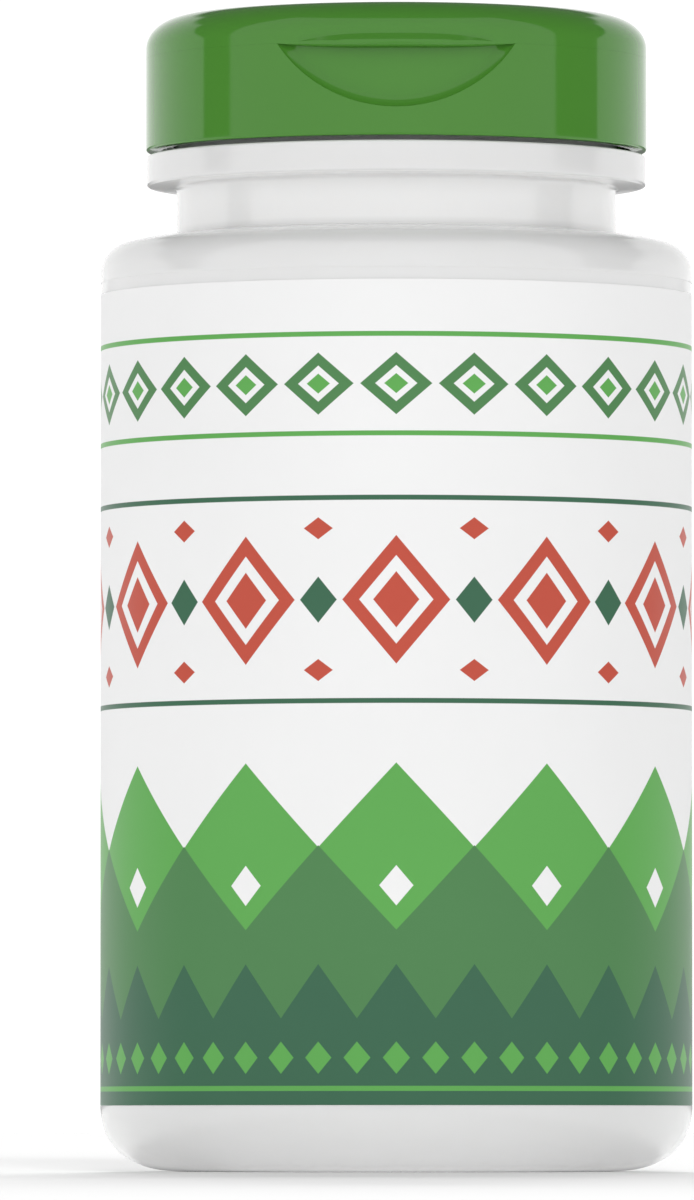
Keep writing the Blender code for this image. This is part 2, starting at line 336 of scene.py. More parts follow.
@dataclass
class TurnedSkin:
    """A turned surface made of rings, whose vertices a warp may move.

    Attributes:
        name: The object's name.
        rings: Its rings, running down the outer side from top to bottom.
        angles: The angles of its columns.
        closed: Whether the last ring joins the first.
        warp: Gives the radius and height of a ring at an angle, or None for plain rings.
        sharp: Edges that turn by more than this angle stay sharp.
    """

    name: str
    rings: list[Ring]
    angles: list[float]
    closed: bool = False
    warp: Callable[[float, Ring], Pair] | None = None
    sharp: float = SHARP

    def build(self) -> bpy.types.Object:
        """Makes the skin's mesh.

        Returns:
            Its object.
        """
        shape = bmesh.new()
        columns = [self.column(shape, angle) for angle in self.angles]
        rows = len(self.rings)
        for column, beside in zip(columns, columns[1:] + columns[:1]):
            for row in range(rows if self.closed else rows - 1):
                below = (row + 1) % rows
                shape.faces.new((column[row], column[below], beside[below], beside[row]))
        return finished_mesh(self.name, shape, self.sharp)

    def column(self, shape: bmesh.types.BMesh, angle: float) -> list[bmesh.types.BMVert]:
        """Adds one column of vertices.

        Args:
            shape: The bmesh that takes them.
            angle: The column's angle.

        Returns:
            Its vertices, in the order of the rings.
        """
        cosine = math.cos(angle)
        sine = math.sin(angle)
        made = []
        for ring in self.rings:
            radius, height = self.warp(angle, ring) if self.warp else (ring.radius, ring.height)
            made.append(shape.verts.new((radius * cosine, ring.shift + radius * sine, height)))
        return made


@dataclass(frozen=True)
class Thread:
    """A right-hand screw thread raised from a turned wall.

    Attributes:
        side: Which way it stands out.
        low: Height of its lower end.
        start: Angle of its lower end.
        turns: Its length in turns.
        pitch: Rise of one turn.
        depth: How far it stands out.
        root_half: Half its width at the wall.
        crest_half: Half its width at the crest.
        fade: Angle over which each end sinks into the wall.
    """

    side: ThreadSide
    low: float
    start: float
    turns: float
    pitch: float = PITCH
    depth: float = 0.9 * MM
    root_half: float = 1.0 * MM
    crest_half: float = 0.5 * MM
    fade: float = math.radians(40)

    def rise(self, angle: float, height: float) -> float:
        """How far the thread moves the wall at a point, outward where positive.

        Args:
            angle: The point's angle.
            height: The point's height.

        Returns:
            The change in radius.
        """
        length = self.turns * math.tau
        along = (angle - self.start) % math.tau
        highest = 0.0
        while along <= length:
            off = abs(height - self.low - self.pitch * along / math.tau)
            if off < self.root_half:
                flank = smooth((self.root_half - off) / (self.root_half - self.crest_half))
                ends = smooth(min(along, length - along) / self.fade)
                highest = max(highest, self.depth * flank * ends)
            along += math.tau
        return self.side.value * highest


class Paint:
    """Short calls that add nodes to a shader tree and join them up."""

    def __init__(self, tree: bpy.types.NodeTree) -> None:
        """Keeps the tree that the nodes go into."""
        self.tree = tree

    def fill(self, target: Socket, value: object) -> None:
        """Links a socket into an input, or sets the input's value.

        Args:
            target: The input.
            value: The socket or value.
        """
        if isinstance(value, bpy.types.NodeSocket):
            self.tree.links.new(value, target)
        else:
            target.default_value = value

    def feed(self, node: bpy.types.Node, **inputs: object) -> bpy.types.Node:
        """Fills a node's inputs.

        Args:
            node: The node.
            inputs: Values or sockets by input name, with underscores for spaces.

        Returns:
            The node.
        """
        for name, value in inputs.items():
            self.fill(node.inputs[name.replace("_", " ")], value)
        return node

    def node(self, kind: str, **inputs: object) -> bpy.types.Node:
        """Adds a node of a Blender type and feeds its inputs."""
        return self.feed(self.tree.nodes.new(kind), **inputs)

    def math(self, operation: str, *values: object) -> Socket:
        """Adds a Math node.

        Args:
            operation: The node's operation.
            values: Its inputs in order.

        Returns:
            Its output.
        """
        made = self.tree.nodes.new("ShaderNodeMath")
        made.operation = operation
        for target, value in zip(made.inputs, values):
            self.fill(target, value)
        return made.outputs[0]

    def times(self, first: object, second: object) -> Socket:
        """The product of two values."""
        return self.math("MULTIPLY", first, second)

    def minus(self, first: object, second: object) -> Socket:
        """The first value less the second."""
        return self.math("SUBTRACT", first, second)

    def scaled(self, value: object, factor: object, offset: object) -> Socket:
        """A value times a factor, plus an offset."""
        return self.math("MULTIPLY_ADD", value, factor, offset)

    def clamped(self, value: object) -> Socket:
        """A value kept within 0 and 1."""
        return self.math("MINIMUM", self.math("MAXIMUM", value, 0.0), 1.0)

    def edge(self, value: object, place: float, soft: float) -> Socket:
        """1 where a value is above a place, with a soft edge of the given width."""
        return self.clamped(self.scaled(value, 1.0 / soft, 0.5 - place / soft))

    def ranged(self, value: object, low: float, high: float) -> Socket:
        """A value stretched from 0..1 to low..high."""
        return self.scaled(value, high - low, low)

    def noise(self, vector: Socket, scale: object, detail: float) -> Socket:
        """A noise value around 0.5, at so many waves per metre."""
        made = self.node("ShaderNodeTexNoise", Vector=vector, Scale=scale, Detail=detail)
        return made.outputs["Fac"]

    def place(self) -> Socket:
        """The Object coordinates."""
        return self.node("ShaderNodeTexCoord").outputs["Object"]

    def axis(self, vector: Socket, name: str) -> Socket:
        """One of a vector's three values, by its name."""
        return self.node("ShaderNodeSeparateXYZ", Vector=vector).outputs[name]

    def bump(self, height: Socket, strength: float, distance: float) -> Socket:
        """The normal of a surface raised by a height."""
        made = self.node("ShaderNodeBump", Strength=strength, Distance=distance, Height=height)
        return made.outputs["Normal"]

    def vector(
        self, operation: str, first: object, second: object, output: str = "Vector"
    ) -> Socket:
        """Adds a Vector Math node.

        Args:
            operation: The node's operation.
            first: Its first vector.
            second: Its second vector, or the number that SCALE scales by.
            output: The name of the output to use.

        Returns:
            That output.
        """
        made = self.tree.nodes.new("ShaderNodeVectorMath")
        made.operation = operation
        self.fill(made.inputs[0], first)
        self.fill(made.inputs["Scale" if operation == "SCALE" else 1], second)
        return made.outputs[output]

    def mix(self, share: object, first: object, second: object) -> Socket:
        """Mixes two colours.

        Args:
            share: How much of the second colour shows, from 0 to 1.
            first: The first colour.
            second: The second colour.

        Returns:
            The mixed colour.
        """
        made = self.tree.nodes.new("ShaderNodeMix")
        made.data_type = "RGBA"
        self.fill(made.inputs["Factor"], share)
        for name, colour in (("A", first), ("B", second)):
            self.fill(made.inputs[name], (*colour, 1.0) if isinstance(colour, tuple) else colour)
        return made.outputs["Result"]


def open_sockets(group: bpy.types.NodeTree, side: str, kind: str, *names: str) -> None:
    """Adds named sockets of one kind to the INPUT or OUTPUT side of a node group."""
    for name in names:
        group.interface.new_socket(name, in_out=side, socket_type=kind)


def moulded_group() -> bpy.types.NodeTree:
    """Makes the skin that all moulded plastic shares: slight ripple, fine grain and uneven gloss.

    Returns:
        The shader group.
    """
    group = bpy.data.node_groups.new("moulded_skin", "ShaderNodeTree")
    values = ("Ripple Scale", "Ripple", "Grain", "Gloss Spread")
    open_sockets(group, "INPUT", "NodeSocketVector", "Vector")
    open_sockets(group, "INPUT", "NodeSocketFloat", *values)
    open_sockets(group, "OUTPUT", "NodeSocketFloat", "Height", "Gloss", "Mottle")
    paint = Paint(group)
    entry = paint.node("NodeGroupInput").outputs
    vector = entry["Vector"]
    ripple = paint.noise(vector, scale=entry["Ripple Scale"], detail=1.0)
    grain = paint.noise(vector, scale=9000.0, detail=3.0)
    mottle = paint.noise(vector, scale=90.0, detail=4.0)
    height = paint.scaled(grain, entry["Grain"], paint.times(ripple, entry["Ripple"]))
    gloss = paint.times(paint.minus(mottle, 0.5), entry["Gloss Spread"])
    paint.node("NodeGroupOutput", Height=height, Gloss=gloss, Mottle=mottle)
    return group


def new_material(name: str) -> tuple[bpy.types.Material, Paint, bpy.types.Node]:
    """Starts a material with a Principled shader.

    Args:
        name: The material's name.

    Returns:
        The material, a painter for its tree and its shader.
    """
    made = bpy.data.materials.new(name)
    made.use_nodes = True
    return made, Paint(made.node_tree), made.node_tree.nodes["Principled BSDF"]


@dataclass(frozen=True)
class MouldedPlastic:
    """The finish of a moulded or blown plastic piece.

    Attributes:
        name: The material's name.
        colour: Its base colour.
        shade: The colour that its faint mottle drifts to.
        roughness: Its middle roughness.
        ripple: Height of its slow ripple in millimetres.
        grain: Height of its fine grain in millimetres.
        ripple_scale: Waves of ripple per metre.
        gloss_spread: How far its roughness drifts.
        depth: Weight of light scattered under the surface.
        scuff_height: Below this height the surface is scuffed by standing, or 0 for none.
        scuff_colour: Colour of the scuffs.
        scuff_stain: How far they take that colour.
        scuff_matt: What they add to the roughness.
        specular: Strength of its reflections, 0.5 for plain plastic.
        painted_light_heights: Lower and upper height of a neck band of painted light, or None.
        painted_light_colour: Colour of that band of painted light.
    """

    name: str
    colour: Triple
    shade: Triple
    roughness: float
    ripple: float = 0.006
    grain: float = 0.0008
    ripple_scale: float = 260.0
    gloss_spread: float = 0.08
    depth: float = 0.0
    scuff_height: float = 0.0
    scuff_colour: Triple = (0.45, 0.44, 0.42)
    scuff_stain: float = 0.15
    scuff_matt: float = 0.03
    specular: float = 0.5
    painted_light_heights: Pair | None = None
    painted_light_colour: Triple = (0.875, 0.875, 0.87)

    def build(self, skin: bpy.types.NodeTree) -> bpy.types.Material:
        """Makes the material.

        Args:
            skin: The shader group that moulded plastic shares.

        Returns:
            The material.
        """
        material, paint, shader = new_material(self.name)
        place = paint.place()
        group = paint.node("ShaderNodeGroup")
        group.node_tree = skin
        paint.feed(
            group, Vector=place, Ripple_Scale=self.ripple_scale, Ripple=self.ripple,
            Grain=self.grain, Gloss_Spread=self.gloss_spread,
        )
        colour = paint.mix(group.outputs["Mottle"], self.colour, self.shade)
        roughness = paint.math("ADD", group.outputs["Gloss"], self.roughness)
        # Painted light: the neck band is painted a lighter colour.
        if self.painted_light_heights:
            colour = paint.mix(self.painted_light_mask(paint, place), colour, self.painted_light_colour)
        if self.scuff_height:
            scuffs = self.scuffs(paint, place)
            stain = paint.times(scuffs, self.scuff_stain)
            colour = paint.mix(stain, colour, self.scuff_colour)
            roughness = paint.scaled(scuffs, self.scuff_matt, roughness)
        paint.feed(
            shader, Base_Color=colour, Roughness=roughness, IOR=1.5,
            Normal=paint.bump(group.outputs["Height"], strength=1.0, distance=MM),
            Specular_IOR_Level=self.specular, Subsurface_Weight=self.depth,
            Subsurface_Radius=(1.0, 0.95, 0.9), Subsurface_Scale=1.2 * MM,
        )
        return material

    def painted_light_mask(self, paint: Paint, place: Socket) -> Socket:
        """The band of painted light, which eases in from below and ends at its upper height.

        Args:
            paint: The painter of the material's tree.
            place: Object coordinates.

        Returns:
            A mask from 0 to 1.
        """
        low, high = self.painted_light_heights
        height = paint.axis(place, "Z")
        rise = paint.clamped(paint.times(paint.minus(height, low), 1.0 / MM))
        return paint.times(rise, paint.math("LESS_THAN", height, high))

    def scuffs(self, paint: Paint, place: Socket) -> Socket:
        """Fine worn marks low down, where the piece stands and slides.

        Args:
            paint: The painter of the material's tree.
            place: Object coordinates.

        Returns:
            A mask from 0 to 1.
        """
        down = paint.scaled(paint.axis(place, "Z"), -1.0 / self.scuff_height, 1.0)
        worn = paint.scaled(paint.noise(place, scale=900.0, detail=3.0), 4.0, -2.0)
        return paint.clamped(paint.times(worn, paint.math("MAXIMUM", down, 0.0)))


@dataclass(frozen=True)
class FoamFinish:
    """The finish of a closed-cell foam ring.

    Attributes:
        name: The material's name.
        colour: Its base colour.
        painted_pore_shade: Painted shade deep in the cells.
    """

    name: str
    colour: Triple
    painted_pore_shade: Triple

    def build(self) -> bpy.types.Material:
        """Makes the material: small cells with painted shade in their pits, matt, slightly soft to
        light.

        Returns:
            The material.
        """
        material, paint, shader = new_material(self.name)
        cells = paint.node("ShaderNodeTexVoronoi", Vector=paint.place(), Scale=3200.0)
        depth = paint.math("MINIMUM", paint.times(cells.outputs["Distance"], 1.4), 1.0)
        # Painted shade: each cell's sunken middle is painted darker.
        paint.feed(
            shader, Base_Color=paint.mix(depth, self.painted_pore_shade, self.colour),
            Roughness=paint.ranged(depth, 0.9, 0.7),
            Normal=paint.bump(depth, strength=0.8, distance=0.08 * MM),
            Subsurface_Weight=0.15, Subsurface_Scale=0.5 * MM,
        )
        return material


@dataclass(frozen=True)
class Inks:
    """The printed colours of the label."""

    ground: Triple = (0.84, 0.84, 0.84)
    field: Triple = (0.082, 0.225, 0.084)
    light: Triple = (0.117, 0.386, 0.089)
    deep: Triple = (0.048, 0.138, 0.080)
    clay: Triple = (0.515, 0.084, 0.054)


@dataclass
class LabelPrint:
    """The label's printed pattern: friezes of lozenges and teeth that repeat all round.

    Sizes are in millimetres on the flat label, whose middle is at x = 0 and lower edge at y = 0.

    Attributes:
        around: Length of a full turn.
        tall: Height of the label.
        repeats: How many times the main motif repeats in a turn.
        inks: The colours.
        softness: Width of an ink's edge.
        line: Width of the straight lines.
        paint: The painter of the label's material.
        x: Place along the label.
        y: Place up the label.
    """

    around: float
    tall: float
    repeats: int = 12
    inks: Inks = Inks()
    softness: float = 0.05
    line: float = 0.5
    paint: Paint = field(init=False)
    x: Socket = field(init=False)
    y: Socket = field(init=False)

    def build(self, name: str) -> bpy.types.Material:
        """Makes the label's material, read on the piece's own UV map.

        Args:
            name: The material's name.

        Returns:
            The material.
        """
        material, paint, shader = new_material(name)
        self.paint = paint
        wrap = paint.node("ShaderNodeUVMap")
        wrap.uv_map = "wrap"
        flat = wrap.outputs["UV"]
        self.x = paint.times(paint.minus(paint.axis(flat, "X"), 0.5), self.around)
        self.y = paint.times(paint.axis(flat, "Y"), self.tall)
        colour, ink = self.pattern()
        place = paint.place()
        fibre = paint.noise(place, scale=2600.0, detail=4.0)
        drift = paint.ranged(paint.noise(place, scale=60.0, detail=3.0), 0.975, 1.025)
        height = paint.scaled(ink, 0.6, fibre)
        paint.feed(
            shader, Base_Color=paint.vector("SCALE", colour, drift),
            Roughness=paint.scaled(ink, -0.08, 0.42), Specular_IOR_Level=0.14,
            Normal=paint.bump(height, strength=0.5, distance=0.004 * MM),
        )
        return material

    def step(self, value: Socket) -> Socket:
        """1 where a length in millimetres is above 0, with an edge as soft as printed ink."""
        return self.paint.edge(value, 0.0, self.softness)

    def cell(self, per_repeat: float = 1.0, offset: float = 0.0) -> tuple[Socket, float]:
        """Folds x into repeated cells.

        Args:
            per_repeat: Cells in each of the main repeats.
            offset: Shift of the cells, as a share of one.

        Returns:
            The distance from the nearest cell's middle, and the cell's width.
        """
        paint = self.paint
        width = self.around / (self.repeats * per_repeat)
        cells = paint.scaled(self.x, 1.0 / width, offset + 0.5)
        within = paint.minus(paint.math("FRACT", cells), 0.5)
        return paint.times(paint.math("ABSOLUTE", within), width), width

    def band(self, low: float) -> Socket:
        """A straight line round the label, upward from a height."""
        above = self.step(self.paint.minus(self.y, low))
        return self.paint.times(above, self.step(self.paint.minus(low + self.line, self.y)))

    def lozenge(self, off: Socket, middle: float, half_wide: float, half_tall: float) -> Socket:
        """A lozenge in each cell.

        Args:
            off: Distance from the cell's middle.
            middle: Height of its centre.
            half_wide: Half its width.
            half_tall: Half its height.

        Returns:
            Its mask.
        """
        paint = self.paint
        slope = half_wide / half_tall
        up = paint.math("ABSOLUTE", paint.minus(self.y, middle))
        room = paint.minus(half_wide, paint.scaled(up, slope, off))
        return self.step(paint.times(room, 1.0 / math.hypot(1.0, slope)))

    def teeth(self, off: Socket, width: float, foot: float, tall: float) -> Socket:
        """All that lies under a row of pointed teeth.

        Args:
            off: Distance from the cell's middle.
            width: The cell's width.
            foot: Height of the valleys between the teeth.
            tall: Height of the teeth.

        Returns:
            The mask of the area below their edge.
        """
        slope = 2.0 * tall / width
        room = self.paint.minus(self.paint.scaled(off, -slope, foot + tall), self.y)
        return self.step(self.paint.times(room, 1.0 / math.hypot(1.0, slope)))

    def pattern(self) -> tuple[Socket, Socket]:
        """Lays the inks over one another.

        Returns:
            The colour, and the mask of what is inked.
        """
        paint, inks = self.paint, self.inks
        main, width = self.cell()
        half, _ = self.cell(offset=0.5)
        small, small_width = self.cell(per_repeat=2.0)
        fine, _ = self.cell(per_repeat=4.0)
        inked = self.teeth(main, width, 25.6, 8.4)
        colour = paint.mix(inked, inks.ground, inks.light)
        layers = [
            (self.teeth(half, width, 17.4, 8.4), inks.field),
            (self.lozenge(main, 21.8, 1.7, 2.0), inks.ground),
            (self.teeth(small, small_width, 8.6, 5.4), inks.deep),
        ]
        layers += [(self.band(low), ink) for low, ink in (
            (1.4, inks.light), (39.9, inks.deep), (60.1, inks.deep), (66.5, inks.light),
            (76.4, inks.light),
        )]
        layers += [(self.lozenge(*sizes), ink) for *sizes, ink in (
            (fine, 4.7, 1.35, 1.6, inks.light),
            (main, 50.2, 5.4, 6.4, inks.clay),
            (main, 50.2, 3.7, 4.4, inks.ground),
            (main, 50.2, 2.3, 2.8, inks.clay),
            (half, 50.2, 1.9, 2.3, inks.deep),
            (half, 57.3, 1.5, 1.1, inks.clay),
            (half, 43.2, 1.5, 1.1, inks.clay),
            (small, 71.7, 3.6, 3.1, inks.field),
            (small, 71.7, 2.1, 1.8, inks.ground),
            (small, 71.7, 1.2, 1.0, inks.light),
        )]
        for mask, ink in layers:
            colour = paint.mix(mask, colour, ink)
            covers = 0.0 if ink == inks.ground else 1.0
            inked = paint.scaled(mask, paint.minus(covers, inked), inked)
        return colour, inked


def thickened(piece: bpy.types.Object, thickness: float) -> None:
    """Gives a sheet without thickness a real thickness behind its face, with sharp edges.

    Args:
        piece: The sheet, whose mesh is replaced.
        thickness: The thickness.
    """
    solid = piece.modifiers.new("Thickness", "SOLIDIFY")
    solid.thickness = thickness
    solid.offset = -1.0
    baked(piece, solid, SHARP)


def dress(
    piece: bpy.types.Object, material: bpy.types.Material, body: str, slot: str, *nodes: str
) -> bpy.types.Object:
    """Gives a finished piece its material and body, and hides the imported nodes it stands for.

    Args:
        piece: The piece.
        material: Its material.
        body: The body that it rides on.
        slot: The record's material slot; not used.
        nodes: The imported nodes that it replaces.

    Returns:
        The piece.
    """
    piece.data.materials.clear()
    piece.data.materials.append(material)
    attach(piece, body)
    if nodes:
        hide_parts(*nodes)
    return piece


@dataclass
class RibRing:
    """Equal bars set radially on a circle, made by Geometry Nodes.

    Attributes:
        name: The piece's name.
        count: How many bars there are.
        radius: Distance of their middles from the centre.
        size: A bar's length outward, its width and its height.
        height: Height of the bars' middles.
        shift: How far the circle's centre stands off the axis, along Y.
        turn: Angle of the first bar.
    """

    name: str
    count: int
    radius: float
    size: Triple
    height: float
    shift: float = 0.0
    turn: float = 0.0

    def build(self, material: bpy.types.Material) -> bpy.types.Object:
        """Makes the bars one plain mesh.

        Args:
            material: The material that the tree sets on them.

        Returns:
            The piece, with its place in its mesh.
        """
        tree = self.tree(material)
        seed = placed(self.name, bpy.data.meshes.new(self.name))
        modifier = seed.modifiers.new("Ribs", "NODES")
        modifier.node_group = tree
        values = {
            "Count": self.count, "Radius": self.radius, "Length": self.size[0],
            "Width": self.size[1], "Depth": self.size[2], "Turn": self.turn,
        }
        for item in tree.interface.items_tree:
            if item.in_out == "INPUT" and item.name in values:
                modifier[item.identifier] = values[item.name]
        mesh = baked(seed, modifier, SHARP)
        mesh.transform(Matrix.Translation((0.0, self.shift, self.height)))
        return seed

    def tree(self, material: bpy.types.Material) -> bpy.types.NodeTree:
        """Builds the node tree that lays the bars out.

        Args:
            material: The material that the tree sets on them.

        Returns:
            The tree, with its sizes as named inputs.
        """
        group = bpy.data.node_groups.new(f"{self.name}_tree", "GeometryNodeTree")
        open_sockets(group, "INPUT", "NodeSocketInt", "Count")
        open_sockets(
            group, "INPUT", "NodeSocketFloat", "Radius", "Length", "Width", "Depth", "Turn"
        )
        open_sockets(group, "OUTPUT", "NodeSocketGeometry", "Geometry")
        paint = Paint(group)
        entry = paint.node("NodeGroupInput").outputs
        circle = paint.node(
            "GeometryNodeMeshCircle", Vertices=entry["Count"], Radius=entry["Radius"]
        )
        size = paint.node(
            "ShaderNodeCombineXYZ", X=entry["Length"], Y=entry["Width"], Z=entry["Depth"]
        )
        bar = paint.node("GeometryNodeMeshCube", Size=size.outputs["Vector"])
        place = paint.node("GeometryNodeInputPosition").outputs["Position"]
        facing = paint.math("ARCTAN2", paint.axis(place, "Y"), paint.axis(place, "X"))
        turned = paint.node("ShaderNodeCombineXYZ", Z=facing)
        copies = paint.node(
            "GeometryNodeInstanceOnPoints", Points=circle.outputs["Mesh"],
            Instance=bar.outputs["Mesh"], Rotation=turned.outputs["Vector"],
        )
        spin = paint.node("ShaderNodeCombineXYZ", Z=entry["Turn"])
        whole = paint.node(
            "GeometryNodeTransform", Geometry=copies.outputs["Instances"],
            Rotation=spin.outputs["Vector"],
        )
        real = paint.node("GeometryNodeRealizeInstances", Geometry=whole.outputs["Geometry"])
        dressed = paint.node(
            "GeometryNodeSetMaterial", Geometry=real.outputs["Geometry"], Material=material
        )
        paint.node("NodeGroupOutput", Geometry=dressed.outputs["Geometry"])
        return group


@dataclass
class Bottle:
    """The blown white bottle.

    Attributes:
        body_radius: Radius of the body at heel and shoulder.
        wall: Wall thickness.
        corner_run: Width in radius of the heel's and the shoulder's curves.
        heel_height: Height of the heel's curve.
        shoulder_foot: Height at which the shoulder starts.
        shoulder_top: Height at which it meets the neck.
        panel_low: Lower edge of the label panel.
        panel_high: Upper edge of the label panel.
        panel_depth: Depth of the label panel.
        ring_inner: Inner radius of the ring that it stands on.
        push_up_radius: Radius of the push-up's flat middle.
        push_up_height: Height of the push-up.
        neck_radius: Radius of the neck under the flange.
        flange_radius: Radius of the flange.
        flange_low: Lower edge of the flange's rim.
        flange_foot: Height at which the flange's sloping underside meets the neck.
        flange_high: Top of the flange.
        finish_radius: Radius of the wall that carries the thread.
        finish_top: Height of the mouth.
        mouth_radius: Inner radius of the mouth.
        thread: The thread outside the mouth.
        neck_foot: Width of the nearly level ring round the foot of the neck.
        dip: How far the shoulder dips towards that ring.
        dip_start: Radius at which the dip starts.
        dip_run: Width over which it eases in.
        shoulder_power: Squareness of the shoulder's curve.
        curve_steps: Steps in the outer curves of heel and shoulder.
        inner_steps: Steps in their inner curves.
        crisp: Rounding of the label panel's edges.
        heel_lean: How far the heel leans in below its curve, over its height.
        foot_gap: How far the ring lies above the ribs' feet.
        rib_count: Ribs on that ring.
        rib_size: A rib's length outward, its width and its height.
        seam_rise: Height of the mould's parting line.
        seam_half: Half the angle that the parting line takes up.
    """

    body_radius: float = 29.97 * MM
    wall: float = 1.15 * MM
    corner_run: float = 8.0 * MM
    heel_height: float = 6.6 * MM
    shoulder_foot: float = 90.5 * MM
    shoulder_top: float = 94.85 * MM
    panel_low: float = 6.68 * MM
    panel_high: float = 90.02 * MM
    panel_depth: float = 0.03 * MM
    ring_inner: float = 18.0 * MM
    push_up_radius: float = 14.0 * MM
    push_up_height: float = 1.8 * MM
    neck_radius: float = 22.25 * MM
    flange_radius: float = 25.33 * MM
    flange_low: float = 99.9 * MM
    flange_foot: float = 99.7 * MM
    flange_high: float = 103.0 * MM
    finish_radius: float = 22.4 * MM
    finish_top: float = 111.0 * MM
    mouth_radius: float = 20.4 * MM
    thread: Thread = Thread(ThreadSide.OUTWARD, 104.6 * MM, 0.0, 1.12)
    neck_foot: float = 1.6 * MM
    dip: float = 0.2 * MM
    dip_start: float = 28.6 * MM
    dip_run: float = 2.0 * MM
    shoulder_power: float = 2.7
    curve_steps: int = 40
    inner_steps: int = 12
    crisp: float = 0.01 * MM
    heel_lean: float = 0.36 * MM
    foot_gap: float = 0.05 * MM
    rib_count: int = 90
    rib_size: Triple = (2.6 * MM, 0.5 * MM, 0.3 * MM)
    seam_rise: float = 0.03 * MM
    seam_half: float = math.radians(0.3)

    def rings(self) -> list[Ring]:
        """The outline: up the inside from the floor, over the mouth and down the outside."""
        return self.inside() + self.neck() + self.outside()

    def inside(self) -> list[Ring]:
        """Runs from the middle of the floor up the inside to the neck.

        Returns:
            The rings.
        """
        inner = self.body_radius - self.panel_depth - self.wall
        foot = self.body_radius - self.corner_run
        floor = self.push_up_height + self.wall
        base = outline([
            Corner(0.0, floor, steps=3),
            Corner(self.push_up_radius, floor - 0.3 * MM, 2.0 * MM),
            Corner(self.ring_inner + self.wall / 2, self.wall),
        ], closed=False)
        heel = squarish(
            (foot, self.heel_height), inner - foot, self.wall - self.heel_height, self.inner_steps
        )
        shoulder = squarish(
            (self.neck_radius, self.shoulder_foot - self.wall / 2), inner - self.neck_radius,
            self.shoulder_top - self.shoulder_foot - self.wall / 2, self.inner_steps,
        )
        return base + heel + list(reversed(shoulder))[:-1]

    def neck(self) -> list[Ring]:
        """Runs up the inside of the neck, over the mouth and down the flange to the neck's foot.

        Returns:
            The rings.
        """
        shell = Zone.SHELL
        return outline([
            Corner(self.neck_radius, self.shoulder_top - self.wall),
            Corner(self.mouth_radius, self.shoulder_top - self.wall, 0.6 * MM),
            Corner(self.mouth_radius, self.finish_top, 0.3 * MM),
            Corner(self.finish_radius, self.finish_top, 0.5 * MM, zone=Zone.THREAD, steps=52),
            Corner(self.finish_radius, self.flange_high, 0.35 * MM, zone=Zone.THREAD),
            Corner(self.flange_radius, self.flange_high, 0.3 * MM),
            Corner(self.flange_radius, self.flange_low, 0.3 * MM),
            Corner(self.neck_radius, self.flange_foot, 0.45 * MM, zone=shell, steps=3),
            Corner(self.neck_radius, self.shoulder_top - 0.1 * MM, 0.25 * MM, zone=shell),
            Corner(self.neck_radius + self.neck_foot, self.shoulder_top - 0.21 * MM, zone=shell),
        ], closed=False)

    def outside(self) -> list[Ring]:
        """Runs down the shoulder, the label panel and the heel to the middle of the base.

        Returns:
            The rings.
        """
        foot = self.body_radius - self.corner_run
        curve = squarish(
            (foot, self.shoulder_foot), self.corner_run, self.shoulder_top - self.shoulder_foot,
            self.curve_steps, self.shoulder_power,
        )
        shoulder = []
        for ring in curve:
            if ring.radius > self.neck_radius + self.neck_foot + 0.3 * MM:
                dip = self.dip * smooth((self.dip_start - ring.radius) / self.dip_run)
                shoulder.append(replace(ring, height=ring.height - dip))
        shell = Zone.SHELL
        panel_radius = self.body_radius - self.panel_depth
        panel = outline([
            Corner(self.body_radius, self.shoulder_foot - 0.05 * MM, zone=shell),
            Corner(self.body_radius, self.panel_high, self.crisp, zone=shell),
            Corner(panel_radius, self.panel_high, self.crisp),
            Corner(panel_radius, self.panel_low, self.crisp),
            Corner(self.body_radius, self.panel_low, self.crisp, zone=shell),
            Corner(self.body_radius, self.heel_height + 0.05 * MM, zone=shell),
        ], closed=False, arc_steps=3)
        drop = self.foot_gap - self.heel_height
        curve = squarish((foot, self.heel_height), self.corner_run, drop, self.curve_steps)
        heel = []
        for ring in reversed(curve):
            lean = self.heel_lean * (1 - ring.height / self.heel_height)
            heel.append(replace(ring, radius=ring.radius - lean))
        base = outline([
            Corner(foot - self.heel_lean, self.foot_gap),
            Corner(self.ring_inner, self.foot_gap, 0.8 * MM),
            Corner(self.push_up_radius, self.push_up_height - 0.3 * MM, 2.5 * MM),
            Corner(0.0, self.push_up_height),
        ], closed=False)
        return shoulder + panel + heel + base[1:]

    def warp(self, angle: float, ring: Ring) -> Pair:
        """Raises the thread on the finish and the mould's parting line on the outer shell.

        Args:
            angle: Angle of the point.
            ring: Its ring.

        Returns:
            Its radius and height.
        """
        if ring.zone is Zone.THREAD:
            return ring.radius + self.thread.rise(angle, ring.height), ring.height
        if ring.zone is Zone.SHELL and ring.radius > self.neck_radius - MM:
            off = min(apart(angle, 0.0), apart(angle, math.pi)) / self.seam_half
            return ring.radius + self.seam_rise * max(0.0, 1.0 - off), ring.height
        return ring.radius, ring.height

    def build(self, white: bpy.types.Material) -> list[bpy.types.Object]:
        """Builds the bottle and the ribs that it stands on.

        Args:
            white: The bottle's material.

        Returns:
            The pieces.
        """
        seams = [(side, 2 * self.seam_half, 6) for side in (0.0, math.pi)]
        shell = TurnedSkin(
            "bottle_shell", self.rings(), column_angles(216, seams), warp=self.warp
        ).build()
        dress(shell, white, "bottle", "bottle_white", "bottle")
        middle = (self.ring_inner + self.body_radius - self.corner_run) / 2 + 0.3 * MM
        ribs = RibRing(
            "foot_ribs", self.rib_count, middle, self.rib_size, self.rib_size[2] / 2
        ).build(white)
        dress(ribs, white, "bottle", "bottle_white")
        return [shell, ribs]


